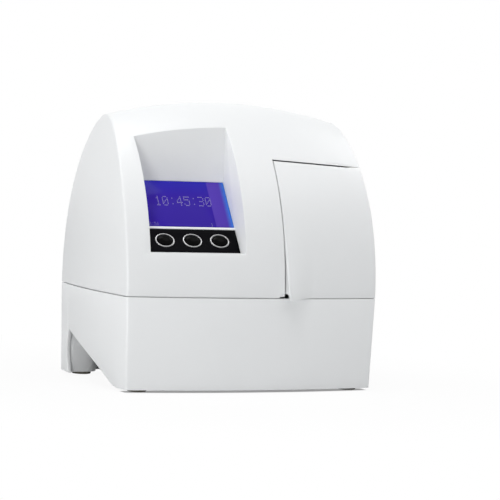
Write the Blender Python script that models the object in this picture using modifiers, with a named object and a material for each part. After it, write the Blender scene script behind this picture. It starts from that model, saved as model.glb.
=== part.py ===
"""Bench-top glycated hemoglobin analyzer, modelled as separate pieces at real size.

Metres, +Z up, +X to the right of someone facing the display, -Y towards them.
The origin lies on the bench, in the middle of the analyzer's outer box.
"""

import math

import bmesh
import bpy
from mathutils import Matrix, Vector

# Housing, outside
CASE_WIDTH = 0.2050
CASE_HEIGHT = 0.2050
CORNER_DEPTH = 0.1293
SIDE_BULGE = 0.0045
FRONT_BULGE = 0.0073
CROWN_RISE = 0.0110
SIDE_LEAN = 0.0114
LEAN_POWER = 2.6
CASE_FILLET = 0.0018
SEAM_GAP = 0.0007
SKIRT_BOTTOM = 0.0015
BASE_DRAFT_SHARE = 0.022
APEX_DEPTH_SHARE = 0.552
FRONT_RAIL_SHARES = ((0, 0), (0.021, 0.606), (0.682, 1), (1, 1))
BACK_RAIL_SHARES = ((0, 0), (0, 0.557), (0.565, 1), (1, 1))
WALL = 0.0025
PIECE_GAP = 0.0003
OVERRUN = 0.0200

# Base tray
FLOOR_MARGIN = 0.0060
SEAM_MARGIN = 0.0043
FLOOR_THICKNESS = 0.0030
LIP_HEIGHT = 0.0035
LIP_THICKNESS = 0.0015
LIP_CLEARANCE = 0.0006
ARCH_FRONT_SETBACK = 0.0190
ARCH_LENGTH = 0.0870
ARCH_HEIGHT = 0.0325
ARCH_REAR_BOW = 0.0045
ARCH_CURVE_SHARES = (0.33, 0.49)
FOOT_RADIUS = 0.0070
FOOT_SIDE_INSET = 0.0150
REAR_FOOT_INSET = 0.0095
FRONT_FOOT_INSET = 0.0120
REAR_PILLAR_HALF_WIDTH = 0.0165
REAR_PILLAR_HALF_DEPTH = 0.0185
INNER_PILLAR_OFFSET = 0.0200
INNER_PILLAR_SHARE = 0.68
FRONT_PILLAR_RADIUS = 0.0085

# Display recess
RECESS_SIDE_MARGIN = 0.01705
RECESS_LEDGE_LIFT = 0.0307
RECESS_LEDGE_SETBACK = 0.0050
RECESS_SLOPE_LENGTH = 0.0608
RECESS_TILT = math.radians(36.2)
RECESS_WALL = 0.0020
PANEL_THICKNESS = 0.0015
KEYPAD_LENGTH = 0.0190
WINDOW_STRIP = 0.0009
SCREEN_MARGIN_X = 0.0045
SCREEN_MARGIN_Y = 0.0035
MODULE_THICKNESS = 0.0080
MODULE_RIM = 0.0030
SCREEN_RISE = 0.0017

# Keypad
BUTTON_SPACE = 0.0091
KEYPAD_MARGIN = 0.0075
BUTTON_WIDTH = 0.0127
BUTTON_HEIGHT = 0.0092
BUTTON_DOME = 0.0020
BUTTON_TRAVEL = 0.0006
BUTTON_FLANGE = 0.0012
BUTTON_FLANGE_THICKNESS = 0.0010
BUTTON_NUB_RADIUS = 0.0015
BUTTON_NUB_LENGTH = 0.0010
BEZEL_WIDTH = 0.0012
BEZEL_RISE = 0.0005
SWITCH_SIZE = 0.0060
SWITCH_HEIGHT = 0.0014
BOARD_THICKNESS = 0.0016
POST_RADIUS = 0.0018
BOARD_EDGE = 0.0012

# Door and its hinge
DOOR_WIDTH = 0.0764
DOOR_TOP_MARGIN = 0.0087
DOOR_TOP_FALL = 0.0040
DOOR_GAP = 0.0007
HINGE_SIDE_INSET = 0.0073
HINGE_SETBACK = 0.0342
HEEL_RADIUS = 0.0150
HEEL_CLEARANCE = 0.0007
FLARE_DEPTH = 0.0070
FLARE_WIDTH = 0.0230
FLARE_HEIGHT = 0.0520
FLARE_POWER = 1.6
ROD_RADIUS = 0.0020
LUG_RADIUS = 0.0042
LUG_HEIGHT = 0.0050
LUG_SPACING = 0.0620
EAR_RADIUS = 0.0038
LUG_MID_LIFT = 0.0425
EAR_HEIGHT = 0.0040
BRACKET_THICKNESS = 0.0020
LATCH_DROP = 0.0140
LATCH_INSET = 0.0070
MAGNET_RADIUS = 0.0032
MAGNET_DEPTH = 0.0025
LATCH_POST_WIDTH = 0.0090
CATCH_THICKNESS = 0.0012
LATCH_AIR_GAP = 0.0010
CATCH_MARGIN = 0.0050

# Cartridge chamber
CHAMBER_OVERLAP = 0.0026
CHAMBER_SIDE_GAP = 0.0010
CHAMBER_LIFT = 0.0020
CHAMBER_HEIGHT = 0.0860
CHAMBER_PLATE_SETBACK = 0.0262
CHAMBER_WALL = 0.0020
CHAMBER_CLEARANCE = 0.0030
MOUTH_MARGIN = 0.0017
ROTOR_DEPTH = 0.0200
ROTOR_LIFT = 0.0400
ROTOR_RIM = 0.0015
ROTOR_AIR_GAP = 0.0008
POCKET_MARGIN = 0.0070
POCKET_HEIGHT = 0.0130
POCKET_DEPTH = 0.0160
SHAFT_RADIUS = 0.0040
SHAFT_OVERHANG = 0.0012
RUNNING_GAP = 0.0002

# Drive
GEAR_INSET = 0.0014
GEAR_TEETH = 48
PINION_TEETH = 16
GEAR_WIDTH = 0.0050
GEAR_SETBACK = 0.0030
GEAR_BACKLASH = 0.0003
TOOTH_HEIGHT_SHARES = (0.90, 1.15)
TOOTH_WIDTH_SHARES = (0.55, 1.45)
CHASSIS_THICKNESS = 0.0020
CHASSIS_SETBACK = 0.0030
CHASSIS_SIDE_GAP = 0.00465
CHASSIS_DROP = 0.0060
CHASSIS_FOOT = 0.0140
BEARING_FLANGE = 0.0040
BEARING_WALL = 0.0025
BEARING_LENGTH = 0.0120
MOTOR_WIDTH = 0.0350
MOTOR_LENGTH = 0.0260
MOTOR_CHAMFER = 0.0030
MOTOR_BOSS_RADIUS = 0.0110
PINION_SHAFT_RADIUS = 0.0025
PINION_SHAFT_LENGTH = 0.0200
DISC_GAP = 0.0008
DISC_THICKNESS = 0.0012
SENSOR_WIDTH = 0.0090
SENSOR_JAW = 0.0030
SENSOR_SLOT = 0.0028
SENSOR_SIDE_GAP = 0.0008

# Optics and heating
OPTICS_EDGE = 0.0010
OPTICS_HEIGHT = 0.0280
OPTICS_LIFT = 0.0060
OPTICS_RIM_GAP = 0.0007
OPTICS_FRONT_INSET = 0.0030
OPTICS_BORE_RADIUS = 0.0025
HEATER_GAP = 0.0012
HEATER_THICKNESS = 0.0030
HEATER_DEPTH = 0.0160
HEATER_HALF_ANGLE = math.radians(62)
HEATER_POST_RADIUS = 0.0016
HEATER_POST_SHARE = 0.9

# Electronics and rear connections
MAIN_BOARD_DEPTH = 0.0960
BOARD_TOWER_GAP = 0.0005
BOARD_CHASSIS_GAP = 0.0030
MAIN_BOARD_LIFT = 0.0060
PORT_FLOOR = 0.0006
PORT_SIDE_GAP = 0.0004
PORT_LENGTH = 0.0130
PORT_RECESS = 0.0004
POWER_WIDTH = 0.0090
POWER_HEIGHT = 0.0110
POWER_BORE_RADIUS = 0.0032
POWER_PIN_RADIUS = 0.0010
POWER_BORE_DEPTH = 0.0090
POWER_INSET = 0.0080
PORT_SPACE = 0.0040
SERIAL_WIDTH = 0.0310
SERIAL_HEIGHT = 0.0125
SCANNER_WIDTH = 0.0140
SCANNER_HEIGHT = 0.0125
CHIP_HEIGHT = 0.0020
CHIP_WIDTH = 0.0200
CHIP_PLACE_SHARES = ((0.30, 0.35), (0.72, 0.30), (0.50, 0.62))
STANDOFF_PLACE_SHARES = ((0.12, 0.06), (0.88, 0.06), (0.12, 0.72), (0.88, 0.72))

# Fastening
SCREW_RADIUS = 0.0015
SCREW_HEAD_RADIUS = 0.0028
SCREW_HEAD_HEIGHT = 0.0020
SCREW_GRIP = 0.0060
TOWER_RADIUS = 0.0045
BOSS_HEIGHT = 0.0130
BOSS_SIZE = 0.0100
BOSS_SIDE_GAP = 0.0020
FRONT_SCREW_INSET = 0.0050
VENT_COUNT = 6
VENT_WIDTH = 0.0460
VENT_HEIGHT = 0.0026
VENT_PITCH = 0.0065
VENT_LIFT = 0.0200

# Facets
FRONT_STATIONS = 16
SIDE_STATIONS = 7
RAIL_STEPS = 12
FILLET_STEPS = 3
INNER_FRONT_STATIONS = 10
INNER_RAIL_STEPS = 9
LIP_STATIONS = 9
DOOR_STATIONS = 6
ARCH_STEPS = 12
ARCH_REAR_STEPS = 8
DOME_STEPS = 5
ROUND_STEPS = 28
SMALL_STEPS = 16
SHARP_ANGLE = math.radians(30)
RAIL_STEP_SHARE = 0.001
HALVINGS = 40
MERGE_DISTANCE = 0.00001

# Places that follow from the sizes
FLOOR_UNDERSIDE = SKIRT_BOTTOM + ARCH_HEIGHT + FLOOR_MARGIN
FLOOR_TOP = FLOOR_UNDERSIDE + FLOOR_THICKNESS
BOARD_UNDERSIDE = FLOOR_TOP + MAIN_BOARD_LIFT
PORT_BOTTOM = BOARD_UNDERSIDE + BOARD_THICKNESS + PORT_FLOOR
SEAM_HEIGHT = PORT_BOTTOM + SERIAL_HEIGHT + SEAM_MARGIN
SCREW_LENGTH = SEAM_HEIGHT + SCREW_GRIP - FLOOR_UNDERSIDE
BASE_WALL = WALL + LIP_CLEARANCE + LIP_THICKNESS / 2
APEX_HEIGHT = CASE_HEIGHT - CROWN_RISE
FAR = CASE_WIDTH + CASE_HEIGHT

BODY_HALF_WIDTH = CASE_WIDTH / 2 - SIDE_BULGE
DOOR_LEFT_X = BODY_HALF_WIDTH - DOOR_WIDTH
HINGE_X = BODY_HALF_WIDTH - HINGE_SIDE_INSET
BRACKET_X = HINGE_X - HEEL_RADIUS - HEEL_CLEARANCE - BRACKET_THICKNESS
CHAMBER_LEFT_X = DOOR_LEFT_X - CHAMBER_OVERLAP
CHAMBER_RIGHT_X = BRACKET_X - CHAMBER_SIDE_GAP - CHAMBER_WALL
ROTOR_X = (CHAMBER_LEFT_X + CHAMBER_RIGHT_X) / 2
FRONT_SCREW_X = CHAMBER_LEFT_X - CHAMBER_WALL - BOSS_SIDE_GAP - BOSS_SIZE / 2

BUTTON_SPACING = BUTTON_WIDTH + BUTTON_SPACE
BUTTON_CENTRE = KEYPAD_LENGTH / 2
RECESS_WIDTH = 2 * BUTTON_SPACING + BUTTON_WIDTH + 2 * KEYPAD_MARGIN
RECESS_CENTRE_X = RECESS_SIDE_MARGIN + RECESS_WIDTH / 2 - BODY_HALF_WIDTH
CHASSIS_LEFT_X = RECESS_CENTRE_X + RECESS_WIDTH / 2 + CHASSIS_SIDE_GAP
OPTICS_LEFT_X = CHASSIS_LEFT_X + OPTICS_EDGE
BOARD_LEFT_X = FOOT_SIDE_INSET + TOWER_RADIUS + BOARD_TOWER_GAP - BODY_HALF_WIDTH
BOARD_RIGHT_X = CHASSIS_LEFT_X - BOARD_CHASSIS_GAP
POWER_X = BOARD_LEFT_X + POWER_INSET
SERIAL_X = POWER_X + POWER_WIDTH / 2 + PORT_SPACE + SERIAL_WIDTH / 2
SCANNER_X = SERIAL_X + SERIAL_WIDTH / 2 + PORT_SPACE + SCANNER_WIDTH / 2

DOOR_EDGE_BULGE = FRONT_BULGE * (1 - (DOOR_LEFT_X / BODY_HALF_WIDTH) ** 2)
BACK_Y = (CORNER_DEPTH + DOOR_EDGE_BULGE + FLARE_DEPTH) / 2
FRONT_Y = BACK_Y - CORNER_DEPTH
MIDDLE_Y = (FRONT_Y + BACK_Y) / 2
APEX_Y = FRONT_Y + APEX_DEPTH_SHARE * CORNER_DEPTH
HINGE_Y = FRONT_Y + HINGE_SETBACK
CHAMBER_Y = FRONT_Y + CHAMBER_PLATE_SETBACK
ROTOR_BACK_Y = CHAMBER_Y + ROTOR_DEPTH
GEAR_Y = ROTOR_BACK_Y + GEAR_SETBACK
CHASSIS_Y = GEAR_Y + GEAR_WIDTH + CHASSIS_SETBACK
RECESS_LEDGE_Y = FRONT_Y + RECESS_LEDGE_SETBACK

CHAMBER_FLOOR = SEAM_HEIGHT + CHAMBER_LIFT
CHAMBER_ROOF = CHAMBER_FLOOR + CHAMBER_HEIGHT
DOOR_TOP_LEFT = CHAMBER_ROOF + DOOR_TOP_MARGIN
LATCH_HEIGHT = CHAMBER_ROOF - LATCH_DROP
LUG_MID_HEIGHT = CHAMBER_FLOOR + LUG_MID_LIFT
CHASSIS_TOP = CHAMBER_ROOF - CHASSIS_DROP
ROTOR_HEIGHT = CHAMBER_FLOOR + ROTOR_LIFT
ROTOR_RADIUS = (CHAMBER_RIGHT_X - CHAMBER_LEFT_X) / 2 - ROTOR_AIR_GAP - MOUTH_MARGIN
POCKET_WIDTH = 2 * (ROTOR_RADIUS - POCKET_MARGIN)
GEAR_MODULE = 2 * (ROTOR_RADIUS - GEAR_INSET) / GEAR_TEETH
GEAR_DISTANCE = GEAR_MODULE * (GEAR_TEETH + PINION_TEETH) / 2
PINION_HEIGHT = ROTOR_HEIGHT - GEAR_DISTANCE
DISC_RADIUS = GEAR_DISTANCE - MOTOR_WIDTH / 2 - DISC_GAP
OPTICS_MIDDLE = ROTOR_HEIGHT + OPTICS_LIFT
RECESS_LEDGE_HEIGHT = SEAM_HEIGHT + RECESS_LEDGE_LIFT
VENT_LOWEST = SEAM_HEIGHT + VENT_LIFT

PANEL_SEAT = PANEL_THICKNESS + PIECE_GAP
PLATE_UNDERSIDE = PANEL_SEAT + RECESS_WALL
FLANGE_TOP = PLATE_UNDERSIDE + PIECE_GAP
FLANGE_UNDERSIDE = FLANGE_TOP + BUTTON_FLANGE_THICKNESS
NUB_END = FLANGE_UNDERSIDE + BUTTON_NUB_LENGTH
SWITCH_TOP = NUB_END + BUTTON_TRAVEL + PIECE_GAP
KEY_BOARD_TOP = SWITCH_TOP + SWITCH_HEIGHT

PALETTE = {
    "white plastic": ((0.86, 0.87, 0.87), 0.38, 0.0),
    "inner plastic": ((0.80, 0.82, 0.83), 0.45, 0.0),
    "black plastic": ((0.02, 0.02, 0.022), 0.3, 0.0),
    "gloss black": ((0.012, 0.012, 0.014), 0.12, 0.0),
    "silver trim": ((0.62, 0.63, 0.64), 0.3, 0.8),
    "display blue": ((0.06, 0.03, 0.42), 0.1, 0.0),
    "screen blue": ((0.05, 0.03, 0.36), 0.2, 0.0),
    "rubber": ((0.13, 0.12, 0.10), 0.8, 0.0),
    "steel": ((0.56, 0.57, 0.58), 0.35, 1.0),
    "aluminium": ((0.72, 0.73, 0.74), 0.4, 1.0),
    "brass": ((0.66, 0.50, 0.22), 0.35, 1.0),
    "board green": ((0.03, 0.19, 0.09), 0.5, 0.0),
    "gear white": ((0.85, 0.84, 0.78), 0.4, 0.0),
}

SIDE_VIEW = Matrix(((0, 0, 1, 0), (1, 0, 0, 0), (0, 1, 0, 0), (0, 0, 0, 1)))


# Scene and small helpers

def clear_scene():
    """Remove every object, so the script can be run again."""
    for old in list(bpy.data.objects):
        bpy.data.objects.remove(old, do_unlink=True)


def make_collection(name):
    collection = bpy.data.collections.new(name)
    bpy.context.scene.collection.children.link(collection)
    return collection


def make_material(name, palette_key):
    colour, roughness, metallic = PALETTE[palette_key]
    material = bpy.data.materials.new(name)
    material.use_nodes = True
    shader = material.node_tree.nodes["Principled BSDF"]
    shader.inputs["Base Color"].default_value = (*colour, 1.0)
    shader.inputs["Roughness"].default_value = roughness
    shader.inputs["Metallic"].default_value = metallic
    material.diffuse_color = (*colour, 1.0)
    return material


def place_mesh(name, mesh):
    """Put a mesh in the cutters' collection, as a guide until it is named a part."""
    guide = bpy.data.objects.new(name, mesh)
    CUTTERS.objects.link(guide)
    guide.hide_render = True
    guide.display_type = "WIRE"
    return guide


def part(guide, name, palette_key):
    """Turn a guide into a finished part with its own name and material."""
    CUTTERS.objects.unlink(guide)
    PARTS.objects.link(guide)
    guide.hide_render = False
    guide.display_type = "TEXTURED"
    guide.name = name
    guide.data.name = name
    guide.data.materials.append(make_material(name, palette_key))
    guide.data.shade_smooth()
    guide.data.set_sharp_from_angle(angle=SHARP_ANGLE)
    return guide


def mesh_from(name, body):
    mesh = bpy.data.meshes.new(name)
    bmesh.ops.recalc_face_normals(body, faces=body.faces)
    if body.calc_volume(signed=True) < 0:
        bmesh.ops.reverse_faces(body, faces=body.faces)
    body.to_mesh(mesh)
    body.free()
    return mesh


def box(name, low, high, frame=Matrix.Identity(4)):
    """A block between two corners, given in the frame's own axes."""
    low, high = Vector(low), Vector(high)
    body = bmesh.new()
    bmesh.ops.create_cube(body, size=1.0)
    bmesh.ops.scale(body, vec=high - low, verts=body.verts)
    bmesh.ops.translate(body, vec=(low + high) / 2, verts=body.verts)
    guide = place_mesh(name, mesh_from(name, body))
    guide.matrix_world = frame
    return guide


def extruded(name, outlines, low, high, frame=Matrix.Identity(4)):
    """A flat outline, with any holes in it, pulled from low to high along the frame's Z."""
    curve = bpy.data.curves.new(name, "CURVE")
    curve.dimensions = "2D"
    curve.fill_mode = "BOTH"
    curve.extrude = (high - low) / 2
    for outline in outlines:
        spline = curve.splines.new("POLY")
        spline.points.add(len(outline) - 1)
        for point, (across, along) in zip(spline.points, outline):
            point.co = (across, along, 0, 1)
        spline.use_cyclic_u = True
    drawn = bpy.data.objects.new(name + "_outline", curve)
    CUTTERS.objects.link(drawn)
    bpy.context.view_layer.update()
    settled = drawn.evaluated_get(bpy.context.evaluated_depsgraph_get())
    mesh = bpy.data.meshes.new_from_object(settled)
    bpy.data.objects.remove(drawn, do_unlink=True)
    body = bmesh.new()
    body.from_mesh(mesh)
    bpy.data.meshes.remove(mesh)
    bmesh.ops.remove_doubles(body, verts=body.verts, dist=MERGE_DISTANCE)
    bmesh.ops.translate(body, vec=(0, 0, (low + high) / 2), verts=body.verts)
    guide = place_mesh(name, mesh_from(name, body))
    guide.matrix_world = frame
    return guide


def turned(name, profile, frame, steps=ROUND_STEPS, shape=(1, 1, 1)):
    """A profile of (radius, height) points, top to bottom, turned round the frame's Z."""
    mesh = bpy.data.meshes.new(name)
    body = bmesh.new()
    corners = [body.verts.new((radius, 0, height)) for radius, height in profile]
    for first, second in zip(corners, corners[1:]):
        body.edges.new((first, second))
    if profile[0][0] > 0:
        body.edges.new((corners[-1], corners[0]))
    body.to_mesh(mesh)
    body.free()
    guide = place_mesh(name, mesh)
    guide.matrix_world = frame @ Matrix.Diagonal((*shape, 1))
    lathe = guide.modifiers.new("turn", "SCREW")
    lathe.axis = "Z"
    lathe.angle = math.tau
    lathe.steps = steps
    lathe.render_steps = steps
    lathe.use_merge_vertices = True
    lathe.merge_threshold = MERGE_DISTANCE
    return guide


def rod_profile(radius, low, high):
    return [(0, high), (radius, high), (radius, low), (0, low)]


def tube_profile(outer, inner, low, high):
    return [(inner, high), (outer, high), (outer, low), (inner, low)]


def frame_at(x, y, z, turn=Matrix.Identity(4)):
    return Matrix.Translation((x, y, z)) @ turn


def boolean(target, tools, operation):
    """One exact Boolean of a piece with one tool, or with several at once."""
    step = target.modifiers.new(tools[0].name, "BOOLEAN")
    step.operation = operation
    step.solver = "EXACT"
    if len(tools) == 1:
        step.object = tools[0]
        return target
    group = bpy.data.collections.new(f"{target.name}_{operation.lower()}")
    CUTTERS.children.link(group)
    for tool in tools:
        group.objects.link(tool)
    step.operand_type = "COLLECTION"
    step.collection = group
    return target


def cut(target, *tools):
    return boolean(target, tools, "DIFFERENCE")


def join(target, *tools):
    return boolean(target, tools, "UNION")


def clip(target, tool):
    return boolean(target, [tool], "INTERSECT")


# The crowned body shared by the base, cover and door

def bezier(shares, t):
    """Place at t on a cubic curve through four (run, rise) shares."""
    weights = ((1 - t) ** 3, 3 * t * (1 - t) ** 2, 3 * t * t * (1 - t), t ** 3)
    run = sum(weight * point[0] for weight, point in zip(weights, shares))
    rise = sum(weight * point[1] for weight, point in zip(weights, shares))
    return run, rise


def run_at_rise(shares, rise):
    low, high = 0.0, 1.0
    for _ in range(HALVINGS):
        middle = (low + high) / 2
        if bezier(shares, middle)[1] < rise:
            low = middle
        else:
            high = middle
    return bezier(shares, low)[0]


def rail_normal(shares, rise):
    """Inward direction, as (run, rise), square to a rail at a height share."""
    below, above = max(rise - RAIL_STEP_SHARE, 0), min(rise + RAIL_STEP_SHARE, 1)
    run_change = run_at_rise(shares, above) - run_at_rise(shares, below)
    return run_change, above - below


def half_width(y, rise, height, inset):
    """Half of the body's width at a depth and a height."""
    bow = 1 - ((y - MIDDLE_Y) / (CORNER_DEPTH / 2)) ** 2
    width = BODY_HALF_WIDTH + SIDE_BULGE * bow - SIDE_LEAN * max(rise, 0) ** LEAN_POWER
    drop = max(SEAM_HEIGHT - height, 0) / (SEAM_HEIGHT - SKIRT_BOTTOM)
    return width * (1 - BASE_DRAFT_SHARE * drop) - inset


def door_flare(x, height):
    """How far the door's finger lip stands out from the crowned front."""
    across = min(max((x - DOOR_LEFT_X) / FLARE_WIDTH, 0), 1)
    up = min(max((height - SEAM_HEIGHT) / FLARE_HEIGHT, 0), 1)
    return FLARE_DEPTH * (1 - across * across * (3 - 2 * across)) * (1 - up) ** FLARE_POWER


def rail_levels(low, high, inset, steps):
    """(height, front y, back y, rise share) rows between two heights."""
    top = APEX_HEIGHT - inset
    rise_total = top - SEAM_HEIGHT
    rows = []
    if low < SEAM_HEIGHT:
        rows.append((low, FRONT_Y + inset, BACK_Y - inset, 0))
        if high > SEAM_HEIGHT:
            rows.append((SEAM_HEIGHT, FRONT_Y + inset, BACK_Y - inset, 0))
    if high <= SEAM_HEIGHT:
        rows.append((high, FRONT_Y + inset, BACK_Y - inset, 0))
        return rows
    for step in range(steps + 1):
        rise = bezier(FRONT_RAIL_SHARES, step / steps)[1]
        height = SEAM_HEIGHT + rise * rise_total
        if rows and height <= rows[-1][0] + MERGE_DISTANCE:
            continue
        front = FRONT_Y + inset + (APEX_Y - FRONT_Y - inset) * run_at_rise(FRONT_RAIL_SHARES, rise)
        back = BACK_Y - inset - (BACK_Y - inset - APEX_Y) * run_at_rise(BACK_RAIL_SHARES, rise)
        if step == steps:
            front = back = APEX_Y
        rows.append((height, front, back, rise))
    return rows


def edge_drop(rise, front, fillet, angle):
    """(depth, height) shift of a rail point round the edge fillet."""
    if rise >= 1:
        return 0, -fillet * (1 - math.cos(angle))
    shares = FRONT_RAIL_SHARES if front else BACK_RAIL_SHARES
    run, climb = rail_normal(shares, rise)
    run *= (APEX_Y - FRONT_Y) if front else (BACK_Y - APEX_Y)
    climb *= APEX_HEIGHT - SEAM_HEIGHT
    length = math.hypot(run, climb)
    inward = fillet * (1 - math.cos(angle))
    towards = climb / length if rise > 0 else 1
    down = run / length if rise > 0 else 0
    return (inward * towards if front else -inward * towards), -inward * down


def level_ring(row, stations, inset, fillet, fillet_steps, flare):
    """One closed outline of the body: front, right side, back, left side."""
    height, front, back, rise = row
    points = []

    def add(x, y, flatness, on_front):
        crown = CROWN_RISE * rise * flatness
        bulge = FRONT_BULGE * (1 - rise * rise) * flatness if on_front else 0
        proud = door_flare(x, height) if flare and on_front else 0
        points.append((x, y - bulge - proud, height + crown))

    def corner(on_front, right):
        y_edge = front if on_front else back
        angles = [math.pi / 2 * step / fillet_steps for step in range(1, fillet_steps + 1)]
        if on_front != right:
            angles.reverse()
        for angle in angles:
            shift_y, shift_z = edge_drop(rise, on_front, fillet, angle)
            y, z = y_edge + shift_y, height + shift_z
            x = half_width(y, rise, height, inset) - fillet * (1 - math.sin(angle))
            points.append((x if right else -x, y, z))

    def long_edge(on_front):
        y_edge = front if on_front else back
        reach = half_width(y_edge, rise, height, inset) - fillet
        ordered = stations if on_front else list(reversed(stations))
        for station in ordered:
            add(station * reach, y_edge, 1 - station * station, on_front)

    def side(right):
        shift_y, shift_z = edge_drop(rise, True, fillet, math.pi / 2)
        shift_back, shift_back_z = edge_drop(rise, False, fillet, math.pi / 2)
        start, stop = front + shift_y, back + shift_back
        if start > stop:
            start = stop = (start + stop) / 2
        for step in range(1, SIDE_STATIONS + 1):
            share = step / (SIDE_STATIONS + 1)
            share = share if right else 1 - share
            y = start + (stop - start) * share
            z = height + shift_z + (shift_back_z - shift_z) * share
            x = half_width(y, rise, height, inset)
            points.append((x if right else -x, y, z))

    long_edge(True)
    if fillet > 0:
        corner(True, True)
    side(True)
    if fillet > 0:
        corner(False, True)
    long_edge(False)
    if fillet > 0:
        corner(False, False)
    side(False)
    if fillet > 0:
        corner(True, False)
    return points


def even_stations(count):
    return [2 * step / count - 1 for step in range(count + 1)]


def door_stations():
    """Stations set close together where the finger lip swells, wider elsewhere."""
    reach = BODY_HALF_WIDTH - CASE_FILLET
    first = (DOOR_LEFT_X - DOOR_GAP) / reach
    last = (DOOR_LEFT_X + FLARE_WIDTH + DOOR_GAP) / reach
    dense = [first + (last - first) * step / LIP_STATIONS for step in range(LIP_STATIONS + 1)]
    wide = [last + (1 - last) * step / DOOR_STATIONS for step in range(1, DOOR_STATIONS + 1)]
    return [-1.0] + dense + wide


def case_body(name, low, high, inset=0, fillet=CASE_FILLET, stations=None, flare=False,
              steps=RAIL_STEPS):
    """The crowned body between two heights, lofted through level outlines."""
    stations = stations or even_stations(FRONT_STATIONS)
    rows = rail_levels(low, high, inset, steps)
    body = bmesh.new()
    rings = []
    for row in rows:
        ring = level_ring(row, stations, inset, fillet, FILLET_STEPS, flare)
        rings.append([body.verts.new(point) for point in ring])
    for lower, upper in zip(rings, rings[1:]):
        for index in range(len(lower)):
            following = (index + 1) % len(lower)
            body.faces.new((lower[index], lower[following], upper[following], upper[index]))
    body.faces.new(list(reversed(rings[0])))
    if high <= SEAM_HEIGHT:
        body.faces.new(rings[-1])
    bmesh.ops.remove_doubles(body, verts=body.verts, dist=MERGE_DISTANCE)
    bmesh.ops.dissolve_degenerate(body, edges=body.edges, dist=MERGE_DISTANCE)
    return place_mesh(name, mesh_from(name, body))


def hollow_body(name, low, inset):
    return case_body(name, low, CASE_HEIGHT, inset=inset, fillet=0,
                     stations=even_stations(INNER_FRONT_STATIONS), steps=INNER_RAIL_STEPS)


def low_body(name, low, high, inset):
    return case_body(name, low, high, inset=inset, fillet=0,
                     stations=even_stations(INNER_FRONT_STATIONS))


# Places in the recess, on the door and in the base

def panel_frame(x=RECESS_CENTRE_X):
    """Axes of the sloping recess floor: X across, Y up the slope, Z out of it."""
    sine, cosine = math.sin(RECESS_TILT), math.cos(RECESS_TILT)
    turn = Matrix(((1, 0, 0, 0), (0, sine, -cosine, 0), (0, cosine, sine, 0), (0, 0, 0, 1)))
    return frame_at(x, RECESS_LEDGE_Y, RECESS_LEDGE_HEIGHT, turn)


def spindle(x, z):
    """Frame whose Z runs back along the analyzer at a place on its front."""
    return frame_at(x, 0, z) @ Matrix.Rotation(-math.pi / 2, 4, "X")


def panel_point(along, out):
    place = panel_frame() @ Vector((0, along, out))
    return place.y, place.z


def recess_outline(seat, wall):
    """Side outline of the recess: seat deep under the panels, grown by a wall."""
    low = (RECESS_LEDGE_Y, RECESS_LEDGE_HEIGHT - wall)
    back_y = panel_point(RECESS_SLOPE_LENGTH, 0)[0] + wall
    back_z = panel_point(RECESS_SLOPE_LENGTH, 0)[1] + wall
    outline = [(-FAR, low[1]), low, panel_point(-wall, -seat - wall)]
    outline.append(panel_point(RECESS_SLOPE_LENGTH + wall, -seat - wall))
    outline.extend([(back_y, back_z), (back_y, FAR + CASE_HEIGHT), (-FAR, FAR + CASE_HEIGHT)])
    return outline


def button_frame(x):
    """Axes of the recess floor, moved to a place in the row of buttons."""
    return panel_frame(RECESS_CENTRE_X + x) @ Matrix.Translation((0, BUTTON_CENTRE, 0))


def ellipse_tool(name, x, width, height, low, high):
    """An upright elliptical plug on the recess floor at one button's place."""
    return turned(name, rod_profile(width / 2, low, high), button_frame(x), shape=(1, height / width, 1))


def button_places():
    return (("left", -BUTTON_SPACING), ("middle", 0), ("right", BUTTON_SPACING))


def door_top(x):
    fall = DOOR_TOP_FALL / (BODY_HALF_WIDTH - DOOR_LEFT_X)
    return DOOR_TOP_LEFT - fall * (x - DOOR_LEFT_X)


def door_region(name, margin, low):
    """The space the door takes up, with a round heel about the hinge, grown by a margin."""
    radius = HEEL_RADIUS + margin
    left = DOOR_LEFT_X - margin
    outline = [(left, -FAR), (HINGE_X + radius, -FAR)]
    for step in range(ROUND_STEPS + 1):
        angle = math.pi * step / ROUND_STEPS
        outline.append((HINGE_X + radius * math.cos(angle), HINGE_Y + radius * math.sin(angle)))
    outline.append((left, HINGE_Y))
    region = extruded(name, [outline], low, DOOR_TOP_LEFT)
    for corner in region.data.vertices:
        if corner.co.z > low + MERGE_DISTANCE:
            corner.co.z = door_top(corner.co.x) + margin
    return region


def front_surface(x, height):
    """Depth of the crowned front at a width and a height, without the finger lip."""
    rise = max(height - SEAM_HEIGHT, 0) / (APEX_HEIGHT - SEAM_HEIGHT)
    rail = FRONT_Y + (APEX_Y - FRONT_Y) * run_at_rise(FRONT_RAIL_SHARES, rise)
    share = x / half_width(rail, rise, height, 0)
    return rail - FRONT_BULGE * (1 - rise * rise) * (1 - share * share)


def screw_places():
    """Three screws above the feet that hide them, and one behind the middle of the front."""
    rear_right, rear_left, _, front_left = foot_places()
    front_y = FRONT_Y - FRONT_BULGE + WALL + FRONT_SCREW_INSET
    return rear_right, rear_left, front_left, (FRONT_SCREW_X, front_y)


def foot_places():
    rear_y = BACK_Y - REAR_FOOT_INSET
    front_y = FRONT_Y + FRONT_FOOT_INSET
    half = BODY_HALF_WIDTH - FOOT_SIDE_INSET
    return ((half, rear_y), (-half, rear_y), (half, front_y), (-half, front_y))


# Housing

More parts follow.
